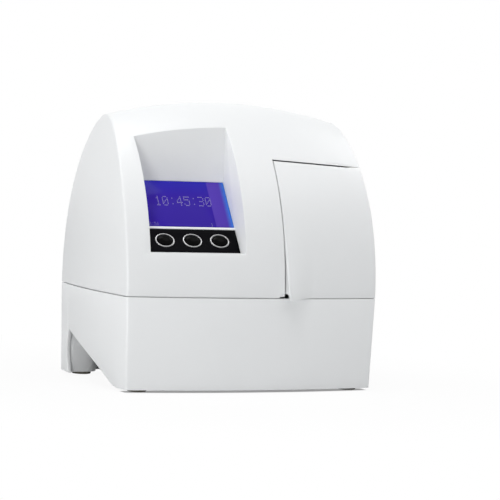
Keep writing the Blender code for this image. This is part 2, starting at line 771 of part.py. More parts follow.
def side_arch_outline():
    """Side outline of the lifting cut-out: a long convex slope and a bowed rear edge."""
    start = FRONT_Y + ARCH_FRONT_SETBACK
    stop = start + ARCH_LENGTH
    foot = SKIRT_BOTTOM
    knee = (start + ARCH_LENGTH * ARCH_CURVE_SHARES[0], foot + ARCH_HEIGHT * ARCH_CURVE_SHARES[1])
    points = [(start - ARCH_REAR_BOW, -FAR)]
    for step in range(ARCH_STEPS + 1):
        t = step / ARCH_STEPS
        y = (1 - t) ** 2 * start + 2 * t * (1 - t) * knee[0] + t * t * stop
        z = (1 - t) ** 2 * foot + 2 * t * (1 - t) * knee[1] + t * t * (foot + ARCH_HEIGHT)
        points.append((y, z))
    for step in range(1, ARCH_REAR_STEPS + 1):
        share = step / ARCH_REAR_STEPS
        bow = ARCH_REAR_BOW * math.sin(math.pi * share)
        points.append((stop + bow, foot + ARCH_HEIGHT * (1 - share)))
    points.append((stop, -FAR))
    return points


def pillar(name, x, y, half_x, half_y):
    frame = frame_at(x, y, 0)
    return turned(name, rod_profile(half_x, -FAR, FLOOR_UNDERSIDE + OVERRUN), frame,
                  shape=(1, half_y / half_x, 1))


def make_base():
    """Lower tray: skirt, raised floor, legs, screw towers and an aligning lip."""
    top = SEAM_HEIGHT - SEAM_GAP
    base = case_body("base", SKIRT_BOTTOM, top)
    under = low_body("base_under", -OVERRUN, FLOOR_UNDERSIDE, WALL)
    pillars = [pillar("screw_pillar", *screw_places()[-1], TOWER_RADIUS, TOWER_RADIUS)]
    half_x, half_y = REAR_PILLAR_HALF_WIDTH, REAR_PILLAR_HALF_DEPTH
    for x, y in foot_places():
        if y < MIDDLE_Y:
            pillars.append(pillar("front_pillar", x, y, FRONT_PILLAR_RADIUS, FRONT_PILLAR_RADIUS))
            continue
        pillars.append(pillar("rear_pillar", x, BACK_Y, half_x, half_y))
        pillars.append(pillar("inner_pillar", x - math.copysign(INNER_PILLAR_OFFSET, x), BACK_Y,
                              half_x * INNER_PILLAR_SHARE, half_y * INNER_PILLAR_SHARE))
    cut(under, *pillars)
    upper = low_body("base_upper", FLOOR_TOP, SEAM_HEIGHT, BASE_WALL)
    tower = rod_profile(TOWER_RADIUS, 0, CASE_HEIGHT)
    cut(upper, *[turned("tower", tower, frame_at(x, y, 0), SMALL_STEPS) for x, y in screw_places()])
    arch = extruded("side_arch", [side_arch_outline()], -FAR, FAR, SIDE_VIEW)
    lip_inset = WALL + LIP_CLEARANCE
    lip = low_body("base_lip", top - LIP_HEIGHT, SEAM_HEIGHT, lip_inset)
    lip_inside = low_body("base_lip_inside", FLOOR_TOP, SEAM_HEIGHT, lip_inset + LIP_THICKNESS)
    lift_ring(lip, SEAM_HEIGHT, LIP_HEIGHT)
    lift_ring(lip_inside, SEAM_HEIGHT, LIP_HEIGHT + OVERRUN)
    boss_rooms = [boss_block(x, y, PIECE_GAP * 2) for x, y in screw_places()]
    cut(lip, lip_inside, door_region("lip_door_room", DOOR_GAP + PIECE_GAP, FLOOR_TOP), *boss_rooms)
    join(cut(base, under, arch, upper), lip)
    rooms = [turned("screw_room", screw_room_profile(), frame_at(x, y, 0), SMALL_STEPS)
             for x, y in screw_places()]
    low = PORT_BOTTOM - PORT_SIDE_GAP
    for x, width, height in port_places():
        reach = width / 2 + PORT_SIDE_GAP
        rooms.append(box("port_room", (x - reach, BACK_Y - PORT_LENGTH, low),
                         (x + reach, BACK_Y + OVERRUN, low + height + 2 * PORT_SIDE_GAP)))
    return part(cut(base, *rooms), "base_housing", "white plastic")


def screw_room_profile():
    """Clearance for a screw's shank with the counterbore for its head."""
    shank, head = SCREW_RADIUS + PIECE_GAP, SCREW_HEAD_RADIUS + PIECE_GAP
    seat = screw_seat() + PIECE_GAP
    return [(0, CASE_HEIGHT), (shank, CASE_HEIGHT), (shank, seat), (head, seat),
            (head, -OVERRUN), (0, -OVERRUN)]


def lift_ring(guide, level, rise):
    """Raise the top outline of a straight-sided guide."""
    for corner in guide.data.vertices:
        if abs(corner.co.z - level) < MERGE_DISTANCE:
            corner.co.z += rise


def screw_seat():
    """Height at which the screw heads stop in their counterbores."""
    return FLOOR_UNDERSIDE


def boss_block(x, y, grow=0):
    """A boss on the cover's wall above one screw tower, grown to make room for it."""
    size = BOSS_SIZE / 2
    low = SEAM_HEIGHT - grow
    high = SEAM_HEIGHT + BOSS_HEIGHT
    if abs(x) > BODY_HALF_WIDTH / 2:
        reach = half_width(y, 0, SEAM_HEIGHT, WALL / 2)
        left, right = (abs(x) - size - grow, reach) if x > 0 else (-reach, size + grow - abs(x))
        return box("boss", (left, y - size - grow, low), (right, y + size + grow, high))
    wall_y = front_surface(x, SEAM_HEIGHT + BOSS_HEIGHT) + WALL / 2
    if grow > 0:
        wall_y = FRONT_Y - FRONT_BULGE
    return box("boss", (x - size - grow, wall_y, low), (x + size + grow, y + size + grow, high))


def make_cover():
    """Upper shell with the display recess, the door opening, bosses and rear vents."""
    half = RECESS_WIDTH / 2
    cover = case_body("cover", SEAM_HEIGHT, CASE_HEIGHT)
    hollow = hollow_body("cover_hollow", SEAM_HEIGHT - OVERRUN, WALL)
    place = Matrix.Translation((RECESS_CENTRE_X, 0, 0)) @ SIDE_VIEW
    block = extruded("recess_block", [recess_outline(PANEL_SEAT, RECESS_WALL)],
                     -half - RECESS_WALL, half + RECESS_WALL, place)
    room = extruded("recess_room", [recess_outline(PANEL_SEAT, 0)], -half, half, place)
    cut(hollow, block)
    cut(cover, hollow, room)
    added = [boss_block(x, y) for x, y in screw_places()]
    for side in (-1, 1):
        frame = button_frame(side * BUTTON_SPACING / 2)
        post = rod_profile(POST_RADIUS, PIECE_GAP - KEY_BOARD_TOP, -PLATE_UNDERSIDE + RECESS_WALL / 2)
        added.append(turned("key_post", post, frame, SMALL_STEPS))
    join(cover, *added)
    rooms = [door_region("door_room", DOOR_GAP, SEAM_HEIGHT - OVERRUN)]
    for name, x in button_places():
        rooms.append(ellipse_tool(f"stem_room_{name}", x, BUTTON_WIDTH + 2 * PIECE_GAP,
                                  BUTTON_HEIGHT + 2 * PIECE_GAP, -PLATE_UNDERSIDE - WALL, PANEL_SEAT))
    low, high = screen_corners(0)
    rooms.append(box("screen_room", (*low, -PLATE_UNDERSIDE - WALL), (*high, 0), panel_frame()))
    bore = rod_profile(SCREW_RADIUS + PIECE_GAP, 0, screw_seat() + SCREW_LENGTH + PIECE_GAP)
    rooms.extend(turned("boss_bore", bore, frame_at(x, y, 0), SMALL_STEPS) for x, y in screw_places())
    for index in range(VENT_COUNT):
        z = VENT_LOWEST + index * VENT_PITCH
        rooms.append(box("vent", (-VENT_WIDTH / 2, MIDDLE_Y, z), (VENT_WIDTH / 2, FAR, z + VENT_HEIGHT)))
    cut(cover, *rooms)
    return part(cover, "cover", "white plastic")


def make_feet():
    names = ("rear_right_foot", "rear_left_foot", "front_right_foot", "front_left_foot")
    for name, (x, y) in zip(names, foot_places()):
        foot = turned(name, rod_profile(FOOT_RADIUS, 0, SKIRT_BOTTOM - PIECE_GAP), frame_at(x, y, 0))
        part(foot, name, "rubber")


def make_screws():
    seat = screw_seat()
    profile = [(0, seat + SCREW_LENGTH), (SCREW_RADIUS, seat + SCREW_LENGTH), (SCREW_RADIUS, seat),
               (SCREW_HEAD_RADIUS, seat), (SCREW_HEAD_RADIUS, seat - SCREW_HEAD_HEIGHT),
               (0, seat - SCREW_HEAD_HEIGHT)]
    for index, (x, y) in enumerate(screw_places()):
        screw = turned("screw", profile, frame_at(x, y, 0), SMALL_STEPS)
        part(screw, f"cover_screw_{index + 1}", "steel")


# Display and keypad

def screen_corners(shrink):
    half = RECESS_WIDTH / 2 - SCREEN_MARGIN_X - shrink
    low = KEYPAD_LENGTH + WINDOW_STRIP + SCREEN_MARGIN_Y + shrink
    high = RECESS_SLOPE_LENGTH - SCREEN_MARGIN_Y - shrink
    return (-half, low), (half, high)


def make_display():
    half = RECESS_WIDTH / 2 - PIECE_GAP
    low, high = KEYPAD_LENGTH + WINDOW_STRIP, RECESS_SLOPE_LENGTH - PIECE_GAP
    window = box("window", (-half, low, -PANEL_THICKNESS), (half, high, 0), panel_frame())
    part(window, "display_window", "display blue")
    top = -PLATE_UNDERSIDE - PIECE_GAP
    corner, far_corner = screen_corners(-MODULE_RIM)
    module = box("module", (*corner, top - MODULE_THICKNESS), (*far_corner, top), panel_frame())
    corner, far_corner = screen_corners(PIECE_GAP)
    screen = box("screen", (*corner, top - MODULE_THICKNESS / 2), (*far_corner, top + SCREEN_RISE),
                 panel_frame())
    join(module, screen)
    part(module, "lcd_module", "screen blue")


def make_keypad():
    half = RECESS_WIDTH / 2 - PIECE_GAP
    panel = box("keypad", (-half, PIECE_GAP, -PANEL_THICKNESS), (half, KEYPAD_LENGTH, 0), panel_frame())
    bezel_width, bezel_height = BUTTON_WIDTH + 2 * PIECE_GAP, BUTTON_HEIGHT + 2 * PIECE_GAP
    grow = 2 * BEZEL_WIDTH
    for name, x in button_places():
        room = ellipse_tool(f"bezel_room_{name}", x, bezel_width + grow + 2 * PIECE_GAP,
                            bezel_height + grow + 2 * PIECE_GAP, -OVERRUN, OVERRUN)
        cut(panel, room)
        ring = ellipse_tool(f"bezel_{name}", x, bezel_width + grow, bezel_height + grow,
                            -PANEL_THICKNESS, BEZEL_RISE)
        cut(ring, ellipse_tool(f"bezel_hole_{name}", x, bezel_width, bezel_height, -OVERRUN, OVERRUN))
        part(ring, f"bezel_{name}", "silver trim")
        make_button(name, x)
    part(panel, "keypad_panel", "black plastic")
    board = box("key_board", (-half, BOARD_EDGE, -KEY_BOARD_TOP - BOARD_THICKNESS),
                (half, KEYPAD_LENGTH - BOARD_EDGE, -KEY_BOARD_TOP), panel_frame())
    size = SWITCH_SIZE / 2
    for name, x in button_places():
        join(board, box(f"switch_{name}", (-size, -size, -KEY_BOARD_TOP - BOARD_THICKNESS / 2),
                        (size, size, -SWITCH_TOP), button_frame(x)))
    part(board, "keypad_board", "board green")


def make_button(name, x):
    """A domed oval push button with a stop flange and a nub over its switch."""
    radius = BUTTON_WIDTH / 2
    profile = []
    for step in range(DOME_STEPS + 1):
        angle = math.pi / 2 * step / DOME_STEPS
        profile.append((radius * math.sin(angle), BEZEL_RISE / 2 + BUTTON_DOME * math.cos(angle)))
    flange = radius + BUTTON_FLANGE
    profile.extend([(radius, -FLANGE_TOP), (flange, -FLANGE_TOP), (flange, -FLANGE_UNDERSIDE)])
    profile.extend([(BUTTON_NUB_RADIUS, -FLANGE_UNDERSIDE), (BUTTON_NUB_RADIUS, -NUB_END), (0, -NUB_END)])
    button = turned(f"button_{name}", profile, button_frame(x), shape=(1, BUTTON_HEIGHT / BUTTON_WIDTH, 1))
    part(button, f"button_{name}", "gloss black")


# Door

def lug_heights():
    middle = LUG_MID_HEIGHT
    return middle - LUG_SPACING / 2, middle + LUG_SPACING / 2


def latch_place():
    return DOOR_LEFT_X + LATCH_INSET, LATCH_HEIGHT


def catch_front():
    """Depth of the catch plate's front face, just behind the closed door's magnet."""
    x, z = latch_place()
    return front_surface(x, z) + WALL + MAGNET_DEPTH + LATCH_AIR_GAP


def set_pivot(guide, place):
    """Move a guide's origin onto a joint's axis and leave its shape where it is."""
    guide.data.transform(Matrix.Translation(-Vector(place)) @ guide.matrix_world)
    guide.matrix_world = Matrix.Translation(place)
    return guide


def make_door():
    """Crowned door that wraps the right corner, with finger lip, hinge lugs and magnet boss."""
    pivot = (HINGE_X, HINGE_Y, LUG_MID_HEIGHT)
    axis = frame_at(HINGE_X, HINGE_Y, 0)
    door = case_body("door", SEAM_HEIGHT, CASE_HEIGHT, stations=door_stations(), flare=True)
    clip(set_pivot(door, pivot), door_region("door_shape", 0, SEAM_HEIGHT - OVERRUN))
    cut(door, hollow_body("door_hollow", SEAM_HEIGHT - OVERRUN, WALL))
    for index, middle in enumerate(lug_heights()):
        low, high = middle - LUG_HEIGHT / 2, middle + LUG_HEIGHT / 2
        rise = (middle - SEAM_HEIGHT) / (APEX_HEIGHT - SEAM_HEIGHT)
        wall_x = half_width(HINGE_Y, rise, middle, WALL / 2)
        join(door, box(f"lug_arm_{index}", (HINGE_X, HINGE_Y - LUG_RADIUS, low),
                       (wall_x, HINGE_Y + LUG_RADIUS, high)))
        join(door, turned(f"lug_eye_{index}", rod_profile(LUG_RADIUS, low, high), axis))
    x, z = latch_place()
    size = MAGNET_RADIUS + WALL / 2
    surface = front_surface(x, z)
    back = surface + WALL + MAGNET_DEPTH
    join(door, box("magnet_boss", (x - size, surface + WALL / 2, z - size), (x + size, back, z + size)))
    magnet_room = rod_profile(MAGNET_RADIUS + PIECE_GAP, back - MAGNET_DEPTH - PIECE_GAP, FAR)
    cut(door, turned("magnet_room", magnet_room, spindle(x, z), SMALL_STEPS))
    rod_room = rod_profile(ROD_RADIUS + PIECE_GAP, 0, CASE_HEIGHT)
    cut(door, turned("rod_room", rod_room, axis, SMALL_STEPS))
    part(door, "door", "white plastic")
    disc = rod_profile(MAGNET_RADIUS, back - MAGNET_DEPTH, back)
    magnet = turned("magnet", disc, spindle(x, z), SMALL_STEPS)
    part(magnet, "door_magnet", "steel")
    placed = magnet.matrix_world.copy()
    magnet.parent = door
    magnet.matrix_parent_inverse = Matrix.Translation(-Vector(pivot))
    magnet.matrix_world = placed


def make_hinge():
    """Fixed bracket beside the chamber, with two ears that hold the hinge rod."""
    lower, upper = lug_heights()
    ears = (lower - LUG_HEIGHT / 2 - PIECE_GAP - EAR_HEIGHT, upper + LUG_HEIGHT / 2 + PIECE_GAP)
    top = ears[1] + EAR_HEIGHT
    right = BRACKET_X + BRACKET_THICKNESS
    axis = frame_at(HINGE_X, HINGE_Y, 0)
    bracket = box("bracket", (BRACKET_X, HINGE_Y - LUG_RADIUS, FLOOR_TOP + PIECE_GAP),
                  (right, CHASSIS_Y - PIECE_GAP, top))
    for index, low in enumerate(ears):
        high = low + EAR_HEIGHT
        join(bracket, box(f"ear_arm_{index}", (right - BRACKET_THICKNESS / 2, HINGE_Y - LUG_RADIUS / 2, low),
                          (HINGE_X, HINGE_Y + LUG_RADIUS / 2, high)))
        join(bracket, turned(f"ear_eye_{index}", rod_profile(EAR_RADIUS, low, high), axis))
    ear_bore = rod_profile(ROD_RADIUS + PIECE_GAP, 0, CASE_HEIGHT)
    cut(bracket, turned("ear_bore", ear_bore, axis, SMALL_STEPS))
    part(bracket, "hinge_bracket", "aluminium")
    rod = turned("rod", rod_profile(ROD_RADIUS, ears[0], top), axis, SMALL_STEPS)
    part(rod, "hinge_rod", "steel")


# Chamber, rotor and drive

def make_chamber():
    """White liner tray behind the door, with a round mouth for the rotor and a latch post."""
    left, right = CHAMBER_LEFT_X - CHAMBER_WALL, CHAMBER_RIGHT_X + CHAMBER_WALL
    liner = box("liner", (left, -FAR, CHAMBER_FLOOR), (right, CHAMBER_Y + CHAMBER_WALL, CHAMBER_ROOF))
    clip(liner, hollow_body("liner_limit", SEAM_HEIGHT - OVERRUN, WALL + CHAMBER_CLEARANCE))
    room = box("chamber_room", (CHAMBER_LEFT_X, -FAR, CHAMBER_FLOOR + CHAMBER_WALL),
               (CHAMBER_RIGHT_X, CHAMBER_Y, CHAMBER_ROOF - CHAMBER_WALL))
    x, z = latch_place()
    half = LATCH_POST_WIDTH / 2
    post = box("latch_post", (left + CHAMBER_WALL / 2, -FAR, z - half),
               (x + half, CHAMBER_Y + CHAMBER_WALL / 2, z + half))
    cut(liner, cut(room, post))
    front = catch_front()
    reach = half + CATCH_MARGIN
    cut(liner, box("catch_room", (left - OVERRUN, -FAR, z - reach),
                   (x + reach, front + CATCH_THICKNESS + PIECE_GAP, z + reach)))
    mouth = rod_profile(ROTOR_RADIUS + ROTOR_AIR_GAP, -FAR, FAR)
    cut(liner, turned("rotor_mouth", mouth, spindle(ROTOR_X, ROTOR_HEIGHT), 2 * ROUND_STEPS))
    part(liner, "chamber_liner", "inner plastic")
    catch = box("catch", (left + CHAMBER_WALL / 2, front, z - half),
                (x + half, front + CATCH_THICKNESS, z + half))
    part(catch, "catch_plate", "steel")


def make_rotor():
    """Round carrier with a cartridge pocket through its middle, on a shaft."""
    axis = spindle(ROTOR_X, ROTOR_HEIGHT)
    bore = SHAFT_RADIUS + PIECE_GAP
    front, back = CHAMBER_Y, ROTOR_BACK_Y
    profile = [(bore, back), (ROTOR_RADIUS - ROTOR_RIM, back), (ROTOR_RADIUS, back - ROTOR_RIM),
               (ROTOR_RADIUS, front + ROTOR_RIM), (ROTOR_RADIUS - ROTOR_RIM, front), (bore, front)]
    rotor = turned("rotor", profile, axis, 2 * ROUND_STEPS)
    pocket = box("cartridge_room", (-POCKET_WIDTH / 2, -POCKET_HEIGHT / 2, front - OVERRUN),
                 (POCKET_WIDTH / 2, POCKET_HEIGHT / 2, front + POCKET_DEPTH), axis)
    part(cut(rotor, pocket), "cartridge_rotor", "black plastic")
    disc_low = CHASSIS_Y + BEARING_LENGTH + DISC_THICKNESS
    end = disc_low + DISC_THICKNESS + SHAFT_OVERHANG
    shaft = turned("shaft", rod_profile(SHAFT_RADIUS, front + POCKET_DEPTH + PIECE_GAP, end), axis)
    part(shaft, "rotor_shaft", "steel")
    part(spur_gear("gear", GEAR_TEETH, 0, axis, bore), "rotor_gear", "gear white")
    disc = turned("disc", tube_profile(DISC_RADIUS, bore, disc_low, disc_low + DISC_THICKNESS), axis)
    slot = box("disc_slot", (ROTOR_X - DISC_THICKNESS, 0, ROTOR_HEIGHT - DISC_RADIUS - OVERRUN),
               (ROTOR_X + DISC_THICKNESS, FAR, ROTOR_HEIGHT - DISC_RADIUS + SENSOR_JAW))
    part(cut(disc, slot), "index_disc", "black plastic")


def gear_outline(teeth, phase):
    """Straight-flanked tooth outline, as (across, along) points."""
    pitch = GEAR_MODULE * teeth / 2
    tip = pitch + GEAR_MODULE * TOOTH_HEIGHT_SHARES[0]
    root = pitch - GEAR_MODULE * TOOTH_HEIGHT_SHARES[1]
    play = GEAR_BACKLASH / pitch / 2
    quarter = math.tau / teeth / 4
    tip_half, root_half = (quarter * share - play for share in TOOTH_WIDTH_SHARES)
    points = []
    for tooth in range(teeth):
        middle = phase + math.tau * tooth / teeth
        for radius, half in ((root, -root_half), (tip, -tip_half), (tip, tip_half), (root, root_half)):
            points.append((radius * math.sin(middle + half), radius * math.cos(middle + half)))
    return points


def circle_outline(radius):
    turns = [math.tau * step / ROUND_STEPS for step in range(ROUND_STEPS)]
    return [(radius * math.cos(turn), radius * math.sin(turn)) for turn in turns]


def spur_gear(name, teeth, phase, frame, bore=0):
    """A spur gear at its place along the drive axes, solid where it has no bore."""
    outlines = [gear_outline(teeth, phase)]
    if bore > 0:
        outlines.append(circle_outline(bore))
    return extruded(name, outlines, GEAR_Y, GEAR_Y + GEAR_WIDTH, frame)


def make_drive():
    """Stepper motor behind the chassis, with its pinion under the rotor gear."""
    axis = spindle(ROTOR_X, PINION_HEIGHT)
    phase = 0 if PINION_TEETH % 2 else math.pi / PINION_TEETH
    pinion = spur_gear("pinion", PINION_TEETH, phase, axis)
    start = GEAR_Y + GEAR_WIDTH / 2
    end = start + PINION_SHAFT_LENGTH
    stem = turned("pinion_stem", rod_profile(PINION_SHAFT_RADIUS, start, end), axis, SMALL_STEPS)
    part(join(pinion, stem), "motor_pinion", "brass")
    half = MOTOR_WIDTH / 2
    edge = half - MOTOR_CHAMFER
    outline = [(half, edge), (edge, half), (-edge, half), (-half, edge),
               (-half, -edge), (-edge, -half), (edge, -half), (half, -edge)]
    low = CHASSIS_Y + CHASSIS_THICKNESS + PIECE_GAP
    motor = extruded("motor", [outline], low, low + MOTOR_LENGTH, axis)
    boss = turned("motor_boss", rod_profile(MOTOR_BOSS_RADIUS, CHASSIS_Y, low + MOTOR_CHAMFER), axis)
    join(motor, boss)
    bore = rod_profile(PINION_SHAFT_RADIUS + RUNNING_GAP, -FAR, end + PIECE_GAP)
    cut(motor, turned("motor_bore", bore, axis, SMALL_STEPS))
    part(motor, "drive_motor", "black plastic")


def make_chassis():
    """Folded plate that carries the bearing, motor, optics and sensor."""
    right = BRACKET_X + BRACKET_THICKNESS
    plate = box("plate", (CHASSIS_LEFT_X, CHASSIS_Y, FLOOR_TOP + PIECE_GAP),
                (right, CHASSIS_Y + CHASSIS_THICKNESS, CHASSIS_TOP))
    join(plate, box("plate_foot", (CHASSIS_LEFT_X, CHASSIS_Y + CHASSIS_THICKNESS / 2, FLOOR_TOP + PIECE_GAP),
                    (right, CHASSIS_Y + CHASSIS_FOOT, FLOOR_TOP + PIECE_GAP + CHASSIS_THICKNESS)))
    inner = SHAFT_RADIUS + RUNNING_GAP
    sleeve = inner + BEARING_WALL
    axis = spindle(ROTOR_X, ROTOR_HEIGHT)
    sleeve_room = turned("sleeve_room", rod_profile(sleeve + PIECE_GAP, -FAR, FAR), axis)
    boss_room = turned("boss_room", rod_profile(MOTOR_BOSS_RADIUS + PIECE_GAP, -FAR, FAR),
                       spindle(ROTOR_X, PINION_HEIGHT))
    part(cut(plate, sleeve_room, boss_room), "chassis_plate", "aluminium")
    flange_front = CHASSIS_Y - PIECE_GAP - CHASSIS_THICKNESS
    profile = [(inner, CHASSIS_Y + BEARING_LENGTH), (sleeve, CHASSIS_Y + BEARING_LENGTH),
               (sleeve, CHASSIS_Y - PIECE_GAP), (sleeve + BEARING_FLANGE, CHASSIS_Y - PIECE_GAP),
               (sleeve + BEARING_FLANGE, flange_front), (inner, flange_front)]
    part(turned("bearing", profile, axis), "shaft_bearing", "brass")


def make_sensor():
    """Slotted light sensor astride the index disc's rim, on an arm from the chassis."""
    disc_low = CHASSIS_Y + BEARING_LENGTH + DISC_THICKNESS
    middle = disc_low + DISC_THICKNESS / 2
    half = SENSOR_WIDTH / 2
    x = ROTOR_X - DISC_RADIUS
    right = ROTOR_X - SHAFT_RADIUS - RUNNING_GAP - BEARING_WALL - SENSOR_SIDE_GAP
    low_y = CHASSIS_Y + CHASSIS_THICKNESS + PIECE_GAP
    high_y = middle + SENSOR_SLOT / 2 + SENSOR_JAW
    slot_half, reach = SENSOR_SLOT / 2, half + OVERRUN
    sensor = box("sensor", (x - half, low_y, ROTOR_HEIGHT - half),
                 (right, high_y, ROTOR_HEIGHT + half))
    slot = box("sensor_slot", (x - SENSOR_JAW / 2, middle - slot_half, ROTOR_HEIGHT - reach),
               (x + reach, middle + slot_half, ROTOR_HEIGHT + reach))
    part(cut(sensor, slot), "index_sensor", "black plastic")


def make_optics():
    """Reader block beside the rotor's rim, its board, and the heated shoe under the rotor."""
    right = ROTOR_X - ROTOR_RADIUS - OPTICS_RIM_GAP
    front = CHAMBER_Y + CHAMBER_WALL + OPTICS_FRONT_INSET
    back = CHASSIS_Y - PIECE_GAP
    half = OPTICS_HEIGHT / 2
    block = box("optics", (OPTICS_LEFT_X, front, OPTICS_MIDDLE - half), (right, back, OPTICS_MIDDLE + half))
    bore_y = CHAMBER_Y + ROTOR_DEPTH / 2
    bore = rod_profile(OPTICS_BORE_RADIUS, right - BOSS_SIZE, FAR)
    facing = frame_at(0, bore_y, OPTICS_MIDDLE) @ Matrix.Rotation(math.pi / 2, 4, "Y")
    cut(block, turned("light_bore", bore, facing, SMALL_STEPS))
    part(block, "optics_block", "black plastic")
    board_right = OPTICS_LEFT_X - PIECE_GAP
    low = (board_right - BOARD_THICKNESS, front, OPTICS_MIDDLE - half)
    part(box("optics_board", low, (board_right, back, OPTICS_MIDDLE + half)), "optics_board", "board green")
    inner = ROTOR_RADIUS + HEATER_GAP
    outer = inner + HEATER_THICKNESS
    outline = []
    for radius, direction in ((inner, 1), (outer, -1)):
        for step in range(ROUND_STEPS // 2 + 1):
            angle = direction * HEATER_HALF_ANGLE * (4 * step / ROUND_STEPS - 1)
            outline.append((radius * math.sin(angle), radius * math.cos(angle)))
    heater_front = CHAMBER_Y + CHAMBER_WALL + PIECE_GAP
    axis = spindle(ROTOR_X, ROTOR_HEIGHT)
    shoe = extruded("shoe", [outline], heater_front, heater_front + HEATER_DEPTH, axis)
    place = (inner + outer) / 2
    for side in (-1, 1):
        angle = side * HEATER_HALF_ANGLE * HEATER_POST_SHARE
        at = axis @ Matrix.Translation((place * math.sin(angle), place * math.cos(angle), 0))
        post = rod_profile(HEATER_POST_RADIUS, heater_front + HEATER_DEPTH / 2, back)
        join(shoe, turned("heater_post", post, at, SMALL_STEPS))
    part(shoe, "heater_shoe", "aluminium")


# Electronics

def port_places():
    return ((POWER_X, POWER_WIDTH, POWER_HEIGHT), (SERIAL_X, SERIAL_WIDTH, SERIAL_HEIGHT),
            (SCANNER_X, SCANNER_WIDTH, SCANNER_HEIGHT))


def make_electronics():
    low, top = BOARD_UNDERSIDE, BOARD_UNDERSIDE + BOARD_THICKNESS
    back = BACK_Y - BASE_WALL - PIECE_GAP
    board = box("main", (BOARD_LEFT_X, back - MAIN_BOARD_DEPTH, low), (BOARD_RIGHT_X, back, top))
    middle = low + BOARD_THICKNESS / 2

    def on_board(shares):
        x = BOARD_LEFT_X + (BOARD_RIGHT_X - BOARD_LEFT_X) * shares[0]
        return x, back - MAIN_BOARD_DEPTH * (1 - shares[1])

    half = CHIP_WIDTH / 2
    for shares in CHIP_PLACE_SHARES:
        x, y = on_board(shares)
        join(board, box("chip", (x - half, y - half, middle), (x + half, y + half, top + CHIP_HEIGHT)))
    standoff = rod_profile(POST_RADIUS, FLOOR_TOP + PIECE_GAP, middle)
    for shares in STANDOFF_PLACE_SHARES:
        join(board, turned("standoff", standoff, frame_at(*on_board(shares), 0), SMALL_STEPS))
    part(board, "main_board", "board green")
    names = (("power_inlet", "black plastic"), ("serial_port", "steel"), ("scanner_port", "black plastic"))
    for (name, finish), (x, width, height) in zip(names, port_places()):
        end = BACK_Y - PORT_RECESS
        port = box(name + "_body", (x - width / 2, end - PORT_LENGTH, PORT_BOTTOM),
                   (x + width / 2, end, PORT_BOTTOM + height))
        if name == "power_inlet":
            ring = tube_profile(POWER_BORE_RADIUS, POWER_PIN_RADIUS, end - POWER_BORE_DEPTH, FAR)
            cut(port, turned("power_bore", ring, spindle(x, PORT_BOTTOM + height / 2), SMALL_STEPS))
        part(port, name, finish)


def build():
    make_base()
    make_cover()
    make_feet()
    make_screws()
    make_display()
    make_keypad()
    make_door()
    make_hinge()
    make_chamber()
    make_rotor()
    make_drive()
    make_chassis()
    make_sensor()
    make_optics()
    make_electronics()


clear_scene()
PARTS = make_collection("glycated_hemoglobin_analyzer")
CUTTERS = make_collection("cutters")
build()
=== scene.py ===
"""Dressed model of a bench-top glycated hemoglobin analyzer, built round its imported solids.

Metres, +Z up, +X to the right of someone facing the display, -Y towards them.
"""

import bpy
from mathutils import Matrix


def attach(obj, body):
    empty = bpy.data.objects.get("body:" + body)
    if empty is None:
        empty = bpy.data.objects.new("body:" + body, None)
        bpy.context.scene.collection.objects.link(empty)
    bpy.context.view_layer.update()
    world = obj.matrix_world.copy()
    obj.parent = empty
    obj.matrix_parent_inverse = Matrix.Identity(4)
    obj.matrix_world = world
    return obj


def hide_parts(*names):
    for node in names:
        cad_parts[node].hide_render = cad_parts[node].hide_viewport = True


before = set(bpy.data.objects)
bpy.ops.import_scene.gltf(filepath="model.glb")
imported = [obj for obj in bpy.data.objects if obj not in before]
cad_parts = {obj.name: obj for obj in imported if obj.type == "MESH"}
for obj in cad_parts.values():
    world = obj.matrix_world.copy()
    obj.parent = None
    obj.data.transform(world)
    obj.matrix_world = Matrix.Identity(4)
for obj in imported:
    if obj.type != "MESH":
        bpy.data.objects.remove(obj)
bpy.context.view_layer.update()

import logging
import math
from collections.abc import Callable, Sequence
from dataclasses import dataclass
from enum import Enum
from functools import lru_cache

import bmesh
import bpy
from mathutils import Matrix, Vector

LOG = logging.getLogger("analyzer")
Point = tuple[float, float]
Place = tuple[float, float, float]
FAR = 0.4  # past the whole object
ABOVE = 0.3  # over the crowned body
PAST = 0.02  # how far a cutting form reaches past a face
NEAR = 0.01  # the same for small cuts
MERGE = 0.00001  # corners closer than this are one
CUT_MERGE = 0.00008  # the same on a shell after its cuts
GRAZE = 0.5  # radians between a sharp edge and one that runs along it
HALVINGS = 34  # of the span in which a rail's rise is looked for
BROKEN_EDGE = 0.00025  # on solids that keep their own mesh
ROUGHNESS_SPREAD = 0.05
LEAST_ROUGHNESS = 0.02
DRIFT_STOPS = (0.3, 0.7)
INLET_PLACE = (-0.0700, 0.0090, 0.0110)  # middle, width and height of each opening in the back
SERIAL_PLACE = (-0.0460, 0.0310, 0.0125)
JACK_PLACE = (-0.0195, 0.0140, 0.0125)
UNIT = Matrix.Identity(4)
SIDE_VIEW = Matrix(((0, 0, 1, 0), (1, 0, 0, 0), (0, 1, 0, 0), (0, 0, 0, 1)))
BACK_VIEW = Matrix(((-1, 0, 0, 0), (0, 0, 1, 0), (0, 1, 0, 0), (0, 0, 0, 1)))


# Finishes

class Grain(Enum):
    """How the small relief of a finish is laid out."""

    SPARK = (1.0, 1.0, 1.0)
    BRUSHED = (0.04, 1.0, 1.0)
    TURNED = (1.0, 1.0, 0.05)


